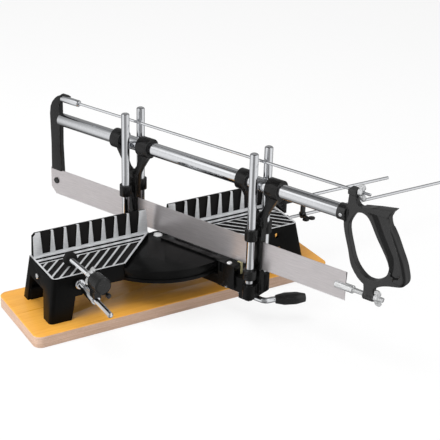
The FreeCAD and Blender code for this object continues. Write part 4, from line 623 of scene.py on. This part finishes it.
def sleeveProfile(sleeve):
    # (radius, length) points of a bored sleeve with low rings
    radius, ringRadius = sleeve["radius"], sleeve["radius"] + sleeve["rise"]
    riseEnd, topEnd, ringEnd = sleeve["ring"]
    profile = [(sleeve["bore"], 0), (radius, 0)]
    for index in range(sleeve["rings"]):
        start = sleeve["firstRing"] + index * sleeve["pitch"]
        profile += [(radius, start), (ringRadius, start + riseEnd), (ringRadius, start + topEnd),
                    (radius, start + ringEnd)]
    return profile + [(radius, sleeve["length"]), (sleeve["bore"], sleeve["length"]), (sleeve["bore"], 0)]


def makeHandle():
    piece = moved(nodeCopy("handle", "sawHandle"), sawTurn.inverted())
    carve(piece, prismFrom("brow", handle["brow"], -handle["browHalf"], handle["browHalf"]), "UNION")
    for side in (-1, 1):
        outer = side * (handle["gripHalf"] + handle["pocketOver"])
        inner = side * (handle["gripHalf"] - handle["pocketDepth"])
        pocket = prismFrom("pocket", handle["pocket"], min(outer, inner), max(outer, inner))
        # the wall next to the finger opening leans, so the outer end of that side is moved towards it
        slope = [Vector((station, outer, height)) * mm
                 for station, height in handle["pocket"][:handle["slantPoints"]]]
        editVerts(pocket, lambda spot: any((spot - corner).length < handle["sameSpot"] for corner in slope))
        bpy.ops.transform.translate(value=(-handle["slant"] * mm, 0, 0))
        objectMode()
        carve(piece, pocket)
    castOver(piece, handle["voxel"], handle["passes"])
    smooth(piece, angle=60)
    sleeve = handle["sleeve"]
    neck = smooth(turned("neck", sleeveProfile(sleeve), sleeve["steps"]), angle=30)
    moved(neck, placed((sleeve["start"], 0, sleeve["height"]), 90, "Y"))
    joined("sawHandle", piece, neck)
    setMaterials(moved(piece, sawTurn), [blackSatin])
    return enter(piece, "saw", "black_casting", "handle")


makeHandle()
print("handle made")

# wing nuts: one is modelled, the rest are copies

wing = {"hubRadius": 5.0, "hubTop": 4.0, "hubLength": 7.0, "edge": (0.4, 0.5), "bore": 2.5, "steps": 40,
        "offset": 8.0, "lift": 5.4, "radius": 5.2, "thickness": 2.4, "lobeSteps": 32,
        "rootStart": 0.8, "rootOver": 0.6, "rootSwell": 0.3,  # the web between hub and lobe
        "core": (-1, 9), "coreGap": 0.6, "coreSteps": 24, "voxel": 0.32, "passes": 3}


def makeWingNut(name):
    bore, length, thickness = wing["bore"], wing["hubLength"], wing["thickness"]
    edge, edgeRise = wing["edge"]
    hub = turned(name, ((bore, 0), (wing["hubRadius"] - edge, 0), (wing["hubRadius"], edgeRise),
                        (wing["hubTop"], length - edge), (wing["hubTop"] - edgeRise, length),
                        (bore, length), (bore, 0)), wing["steps"])
    for side in (-1, 1):
        offset = side * wing["offset"]
        clearPicks()
        bpy.ops.mesh.primitive_cylinder_add(vertices=wing["lobeSteps"], radius=wing["radius"] * mm,
                                            depth=thickness * mm, location=(offset * mm, 0, wing["lift"] * mm),
                                            rotation=(math.radians(90), 0, 0))
        lobe = settle(named("lobe"))
        root = blockAt("root", (min(0, offset), -thickness / 2 - wing["rootSwell"], wing["rootStart"]),
                       (max(0, offset), thickness / 2 + wing["rootSwell"], wing["lift"] + wing["rootOver"]))
        coreRadius, (low, high) = bore + wing["coreGap"], wing["core"]
        carve(root, turned("core", ((0, low), (coreRadius, low), (coreRadius, high), (0, high)),
                           wing["coreSteps"]))
        hub = joined(name, hub, lobe, root)
    castOver(hub, wing["voxel"], wing["passes"])
    return smooth(hub, angle=60)


wingNut = makeWingNut("wingNut")
wingPlaces = {
    "rodWingNut": ("rod_wing_nut", "rod_wing", placed((337.2, 0, 244.6), 90, "Y", 12, sawTurn)),
    "boltWingNut": ("bolt_wing_nut", "bolt_wing", placed((373.5, 0, 101.5), 90, "Y", 12, sawTurn)),
    "clampWingNut": ("clamp_wing_nut", "clamp_wing", placed((-163, -108.31, 98.425), 85.5, "X", 60)),
}
for name, (node, body, place) in wingPlaces.items():
    nut = moved(copyOf(wingNut, name), place)
    setMaterials(nut, [plated])
    enter(nut, body, "plated_steel", node)
bpy.data.objects.remove(wingNut)
print("wing nuts made")

# blade with its row of fine teeth

blade = {"rear": -220.0, "front": 330.0, "bottom": 80.4, "top": 124.0, "thickness": 1.0, "edge": 0.12,
         "pitch": 2.75, "depth": 1.5, "hook": 0.35,  # teeth, whose tips lean by this share of half a pitch
         "cornerRear": 9.0, "lean": 2.5, "lowerZone": 1.0, "slack": 0.1}


def makeBlade():
    length = blade["front"] - blade["rear"]
    columns = round(length / blade["pitch"]) * 2
    clearPicks()
    bpy.ops.mesh.primitive_grid_add(x_subdivisions=columns, y_subdivisions=1, size=1,
                                    location=((blade["front"] + blade["rear"]) / 2 * mm, 0,
                                              (blade["top"] + blade["bottom"]) / 2 * mm),
                                    rotation=(math.radians(90), 0, 0))
    piece = named("sawBlade")
    piece.scale = (length * mm, (blade["top"] - blade["bottom"]) * mm, 1)
    settle(piece)
    step = length / columns
    for vert in piece.data.vertices:  # every second point of the lower edge is a gullet
        station, height = vert.co.x / mm, vert.co.z / mm
        if height > blade["bottom"] + blade["lowerZone"]:
            continue
        fromRear = station - blade["rear"]
        number = round(fromRear / step)
        rise = blade["depth"] if number % 2 == 0 else 0.0
        if fromRear < blade["cornerRear"]:
            rise = (1 - fromRear / blade["cornerRear"]) * blade["cornerRear"] + blade["depth"]
        vert.co.z += rise * mm
        if number % 2 == 1:
            vert.co.x += blade["hook"] * step * mm
        if station > blade["front"] - blade["slack"]:
            vert.co.x -= blade["lean"] * mm
    modify(piece, "SOLIDIFY", thickness=blade["thickness"] * mm, offset=0.0)
    roundEdges(piece, blade["edge"], steps=1, angle=60)
    smooth(piece, angle=20)
    setMaterials(moved(piece, sawTurn), [groundBlade])
    return enter(piece, "saw", "blade_steel", "saw_blade")


makeBlade()

# threaded bars, drawn along +Z: lengths along the bar in mm

threads = {"pitch": 1.3, "depth": 0.32, "startChamfer": 0.5, "endChamfer": 0.7, "steps": 28}
threadedBars = {
    "tensionRod": {"node": "tension_rod", "body": "saw", "radius": 2.0, "start": 0, "end": 550.2,
                   "thread": (526, 549.5), "place": placed((-195, 0, 244.6), 90, "Y", base=sawTurn)},
    "clampSpindle": {"node": "clamp_spindle", "body": "clamp_ram", "radius": 3.7, "start": 3.5, "end": 103,
                     "thread": (6, 100), "place": placed((-163, -47, 93.6), 85.5, "X")},
}


def threadedProfile(radius, start, end, threadStart, threadEnd):
    # plain outside the threaded stretch, ridged inside it
    chamfer, endChamfer = threads["startChamfer"], threads["endChamfer"]
    profile = [(0, start), (radius - chamfer, start), (radius, start + chamfer)]
    at = threadStart
    while at + threads["pitch"] < threadEnd:
        profile += [(radius, at), (radius - threads["depth"], at + threads["pitch"] / 2)]
        at += threads["pitch"]
    return profile + [(radius, at), (radius, end - endChamfer), (radius - endChamfer, end), (0, end)]


for name, bar in threadedBars.items():
    profile = threadedProfile(bar["radius"], bar["start"], bar["end"], *bar["thread"])
    piece = moved(turned(name, profile, threads["steps"]), bar["place"])
    smooth(piece, angle=40)
    setMaterials(piece, [chrome])
    enter(piece, bar["body"], "bright_steel", bar["node"])
print("blade and threads made")

# screws: one head of each size is modelled, then copied

screws = {
    # node: body, slot, material, head radius, head height, shank radius, shank depth, spots of (place, way)
    "arm_deck_screw": ("arm", "plated_steel", brightHead, 3.8, 2.2, 1.9, 8.5,
                       [(sawSpot(142.2, -10.6, 78.2), (0, 0, 1))]),
    "arm_side_screw": ("arm", "plated_steel", plated, 2.4, 2.2, 1.4, 4.8,
                       [(sawSpot(137.6, -10, 39.4), sawSide)]),
    "depth_stop_screw": ("depth_stop", "plated_steel", darkSteel, 2.0, 1.6, 1.4, 3.6,
                         [(sawSpot(182.25, -26.9, 77.35), sawSide)]),
    "rear_guide_screws": ("rear_slider", "plated_steel", darkSteel, 2.4, 2.2, 1.5, 2.3,
                          [(sawSpot(-46.5, -5.5, 134), sawSide),
                           (sawSpot(-46.5, -4.5, 153), sawSide)]),
    "front_guide_screws": ("front_slider", "plated_steel", darkSteel, 2.4, 2.2, 1.5, 2.3,
                           [(sawSpot(184.25, -5.5, 134), sawSide),
                            (sawSpot(184.25, -4.5, 153), sawSide)]),
    "socket_screw": ("saw", "plated_steel", plated, 2.6, 1.6, 1.6, 0.9,
                     [(sawSpot(319, -11.4, 209.9), sawSide)]),
    "end_hole_plug": ("base", "plated_steel", plated, 4.0, 2.0, 2.4, 4.8,
                      [((-0.2045, -0.025, 0.066), (-1, 0, 0))]),
    "board_screws": ("base", "plated_steel", plated, 4.5, 3.0, 2.2, 26.0,
                     [((x * mm, y * mm, 0.004), (0, 0, -1)) for x in (-196, 196) for y in (-71, 4)]),
}


screwShape = {
    "dome": ((1.0, 0.45), (0.9, 0.75), (0.66, 0.94), (0.3, 1.0), (0.0, 1.0)),  # shares of radius and height
    "tip": (0.3, 0.4), "slotHalf": 0.62, "slotWidth": 0.13, "slotFloor": 0.45, "slotOver": 1.0,
    "turn": 20.0, "edge": 0.12, "steps": 36,
}


def makeScrew(name, headRadius, headHeight, shankRadius, shankDepth):
    # domed head with a crossed slot, its seat at z = 0 and its shank below
    tipWidth, tipHeight = screwShape["tip"]
    profile = [(0, -shankDepth), (shankRadius - tipWidth, -shankDepth),
               (shankRadius, -shankDepth + tipHeight), (shankRadius, 0), (headRadius, 0)]
    profile += [(headRadius * across, headHeight * up) for across, up in screwShape["dome"]]
    piece = turned(name, profile, screwShape["steps"])
    half, width = headRadius * screwShape["slotHalf"], headRadius * screwShape["slotWidth"]
    for turn in (0, 90):
        slot = blockAt("slot", (-half, -width, headHeight * screwShape["slotFloor"]),
                       (half, width, headHeight + screwShape["slotOver"]))
        carve(piece, moved(slot, Matrix.Rotation(math.radians(turn), 4, "Z")))
    return piece


for node, (body, slot, material, headRadius, headHeight, shankRadius, shankDepth, spots) in screws.items():
    name = pieceName(node)
    master = makeScrew("screwMaster", headRadius, headHeight, shankRadius, shankDepth)
    group = [moved(copyOf(master, name), aimed(place, way, screwShape["turn"])) for place, way in spots]
    piece = joined(name, *group) if len(group) > 1 else group[0]
    bpy.data.objects.remove(master)
    roundEdges(piece, screwShape["edge"], steps=2, angle=50)
    smooth(piece, angle=30)
    setMaterials(piece, [material])
    enter(piece, body, slot, node)
print("screws made")

# bright bars

for end in ("rear", "front"):
    for side in ("left", "right"):
        node = "%s_%s_post" % (end, side)
        dressed(node, pieceName(node), "arm", "bright_steel", [chrome], edge=0.3)
dressed("saw_tube", "sawTube", "saw", "bright_steel", [chrome], edge=0.3)
dressed("rod_barrel", "rodBarrel", "saw", "bright_steel", [chrome], edge=0.3)
dressed("blade_tension_bolt", "tensionBolt", "saw", "plated_steel", [plated], edge=0.3)
dressed("lock_lever_bar", "leverBar", "lock_lever", "bright_steel", [chrome], edge=0.4)
dressed("clamp_rod", "clampRod", "base", "bright_steel", [chrome], edge=0.3)
dressed("clamp_sleeve", "clampSleeve", "clamp_slider", "bright_steel", [chrome], edge=0.3)
dressed("stop_rod", "stopRod", "stop_bar", "bright_steel", [chrome], edge=0.3)
dressed("stop_upper_rod", "stopUpperRod", "stop_reach", "bright_steel", [chrome], edge=0.3)
print("bars dressed")

# small parts

smallParts = {
    # node: body, slot, material
    "disc_screws": ("base", "plated_steel", plated), "pivot_bolt": ("base", "plated_steel", brightHead),
    "pivot_washer": ("base", "plated_steel", plated), "pivot_nut": ("base", "plated_steel", plated),
    "blade_peg": ("saw", "plated_steel", darkSteel), "bolt_peg": ("saw", "plated_steel", plated),
    "clamp_rod_nut": ("base", "plated_steel", plated),
    "clamp_lock_screw": ("clamp_lock", "dark_steel", darkSteel),
    "link_wing_screw": ("stop_lock", "black_casting", darkSteel),
}
for node, (body, slot, material) in smallParts.items():
    dressed(node, pieceName(node), body, slot, [material], edge=0.25)
print("small parts dressed")

# floor, light and camera

floorSettings = {"size": 8.0, "level": -0.0002, "colour": grey(0.9), "roughness": 0.8, "white": 0.8}


def makeFloor():
    clearPicks()
    bpy.ops.mesh.primitive_plane_add(size=floorSettings["size"], location=(0, 0, floorSettings["level"]))
    floor = named("paleFloor")
    material, tree, shader = newMaterial("paleFloor")
    shader.inputs["Base Color"].default_value = floorSettings["colour"]
    shader.inputs["Roughness"].default_value = floorSettings["roughness"]
    glow = addNode(tree, "ShaderNodeEmission", {"Color": (1, 1, 1, 1), "Strength": 1.0})
    path = addNode(tree, "ShaderNodeLightPath")
    share = maths(tree, "MULTIPLY", path.outputs["Is Camera Ray"], floorSettings["white"])
    mix = addNode(tree, "ShaderNodeMixShader", {0: share, 1: shader.outputs[0], 2: glow.outputs[0]})
    tree.links.new(mix.outputs[0], tree.nodes["Material Output"].inputs["Surface"])
    floor.data.materials.append(material)
    floor.visible_glossy = False  # bright metal mirrors the studio instead


room = {
    "diffuseLevel": 0.46, "glossyLevel": 1.0, "towardsCamera": (-0.513, -0.858),
    # stops of (place, level): from straight down to straight up, and from behind the object to the camera
    "byHeight": ((0.0, 0.30), (0.10, 0.42), (0.17, 0.62), (0.24, 0.84), (0.50, 0.92), (0.70, 0.80),
                 (0.765, 1.15), (0.84, 1.15), (0.893, 1.10), (0.915, 0.24), (1.0, 0.26)),
    "byBearing": ((0.0, 0.34), (0.10, 0.16), (0.30, 0.42), (0.44, 0.84), (0.62, 1.0), (0.84, 0.95),
                  (0.93, 0.36), (1.0, 0.30)),
}


def fillRamp(ramp, stops):
    # stops of (position, level)
    points = ramp.color_ramp.elements
    while len(points) > 1:
        points.remove(points[-1])
    for index, (position, level) in enumerate(stops):
        point = points[0] if index == 0 else points.new(position)
        point.position = position
        point.color = grey(level)
    return ramp.outputs["Color"]


def makeWorld():
    # white to the camera, even for soft light, and a plain studio's bright and dim sides for reflections
    world = bpy.data.worlds.new("softRoom")
    bpy.context.scene.world = world
    world.use_nodes = True
    tree = world.node_tree
    tree.nodes.clear()
    direction = addNode(tree, "ShaderNodeTexCoord").outputs["Generated"]
    parts = addNode(tree, "ShaderNodeSeparateXYZ", {0: direction})
    height = mapRange(tree, parts.outputs["Z"], -1.0, 1.0)
    flat = addNode(tree, "ShaderNodeCombineXYZ", {0: parts.outputs["X"], 1: parts.outputs["Y"], 2: 0.0})
    level = addNode(tree, "ShaderNodeVectorMath", {0: flat.outputs[0]}, operation="NORMALIZE")
    facing = addNode(tree, "ShaderNodeVectorMath", {0: level.outputs[0], 1: room["towardsCamera"] + (0.0,)},
                     operation="DOT_PRODUCT")
    bearing = mapRange(tree, facing.outputs["Value"], -1.0, 1.0)
    byHeight = fillRamp(addNode(tree, "ShaderNodeValToRGB", {0: height}), room["byHeight"])
    byBearing = fillRamp(addNode(tree, "ShaderNodeValToRGB", {0: bearing}), room["byBearing"])
    studio = addNode(tree, "ShaderNodeMix", {0: 1.0, 6: byHeight, 7: byBearing}, data_type="RGBA",
                     blend_type="MULTIPLY").outputs[2]
    glossy = addNode(tree, "ShaderNodeBackground", {"Color": studio, "Strength": room["glossyLevel"]})
    soft = addNode(tree, "ShaderNodeBackground", {"Color": (1, 1, 1, 1), "Strength": room["diffuseLevel"]})
    white = addNode(tree, "ShaderNodeBackground", {"Color": (1, 1, 1, 1), "Strength": 1.0})
    path = addNode(tree, "ShaderNodeLightPath")
    mirrored = maths(tree, "MAXIMUM", path.outputs["Is Glossy Ray"], path.outputs["Is Transmission Ray"])
    first = addNode(tree, "ShaderNodeMixShader", {0: mirrored, 1: soft.outputs[0], 2: glossy.outputs[0]})
    second = addNode(tree, "ShaderNodeMixShader",
                     {0: path.outputs["Is Camera Ray"], 1: first.outputs[0], 2: white.outputs[0]})
    out = addNode(tree, "ShaderNodeOutputWorld")
    tree.links.new(second.outputs[0], out.inputs["Surface"])


lamps = {
    "topPanel": {"spot": (-0.35, 0.25, 1.9), "width": 1.5, "height": 1.2, "power": 26.0},
    "leftPanel": {"spot": (-1.8, -0.5, 0.75), "width": 1.2, "height": 1.0, "power": 24.0},
    "rightPanel": {"spot": (1.5, -0.9, 1.0), "width": 0.9, "height": 1.2, "power": 7.0},
}
lampAim = Vector((0.05, 0, 0.08))


def makeLamps():
    for name, values in lamps.items():
        data = bpy.data.lights.new(name, "AREA")
        data.shape = "RECTANGLE"
        data.size = values["width"]
        data.size_y = values["height"]
        data.energy = values["power"]
        data.cycles.is_caustics_light = False
        lamp = bpy.data.objects.new(name, data)
        lamp.visible_glossy = False
        bpy.context.scene.collection.objects.link(lamp)
        spot = Vector(values["spot"])
        lamp.location = spot
        lamp.rotation_euler = (lampAim - spot).to_track_quat("-Z", "Y").to_euler()


camera = {"target": (0.1077, 0.0, 0.07531), "distance": 1.87014, "azimuth": -30.89, "elevation": 25.55,
          "roll": 1.69, "focalPixels": 1213.16, "imagePixels": 440, "sensor": 36.0}


def makeCamera():
    azimuth, elevation, roll = (math.radians(camera[key]) for key in ("azimuth", "elevation", "roll"))
    back = Vector((math.sin(azimuth) * math.cos(elevation), -math.cos(azimuth) * math.cos(elevation),
                   math.sin(elevation)))
    right = Vector((math.cos(azimuth), math.sin(azimuth), 0))
    up = back.cross(right)
    across = right * math.cos(roll) + up * math.sin(roll)
    upward = up * math.cos(roll) - right * math.sin(roll)
    data = bpy.data.cameras.new("photoCamera")
    data.sensor_width = camera["sensor"]
    data.sensor_fit = "HORIZONTAL"
    data.lens = camera["focalPixels"] / camera["imagePixels"] * camera["sensor"]
    eye = bpy.data.objects.new("photoCamera", data)
    bpy.context.scene.collection.objects.link(eye)
    turnMatrix = Matrix((across, upward, back)).transposed().to_4x4()
    eye.matrix_world = Matrix.Translation(Vector(camera["target"]) + back * camera["distance"]) @ turnMatrix
    bpy.context.scene.camera = eye


makeFloor()
makeWorld()
makeLamps()
makeCamera()
view = bpy.context.scene.view_settings
view.view_transform = "Standard"
print("stage set")
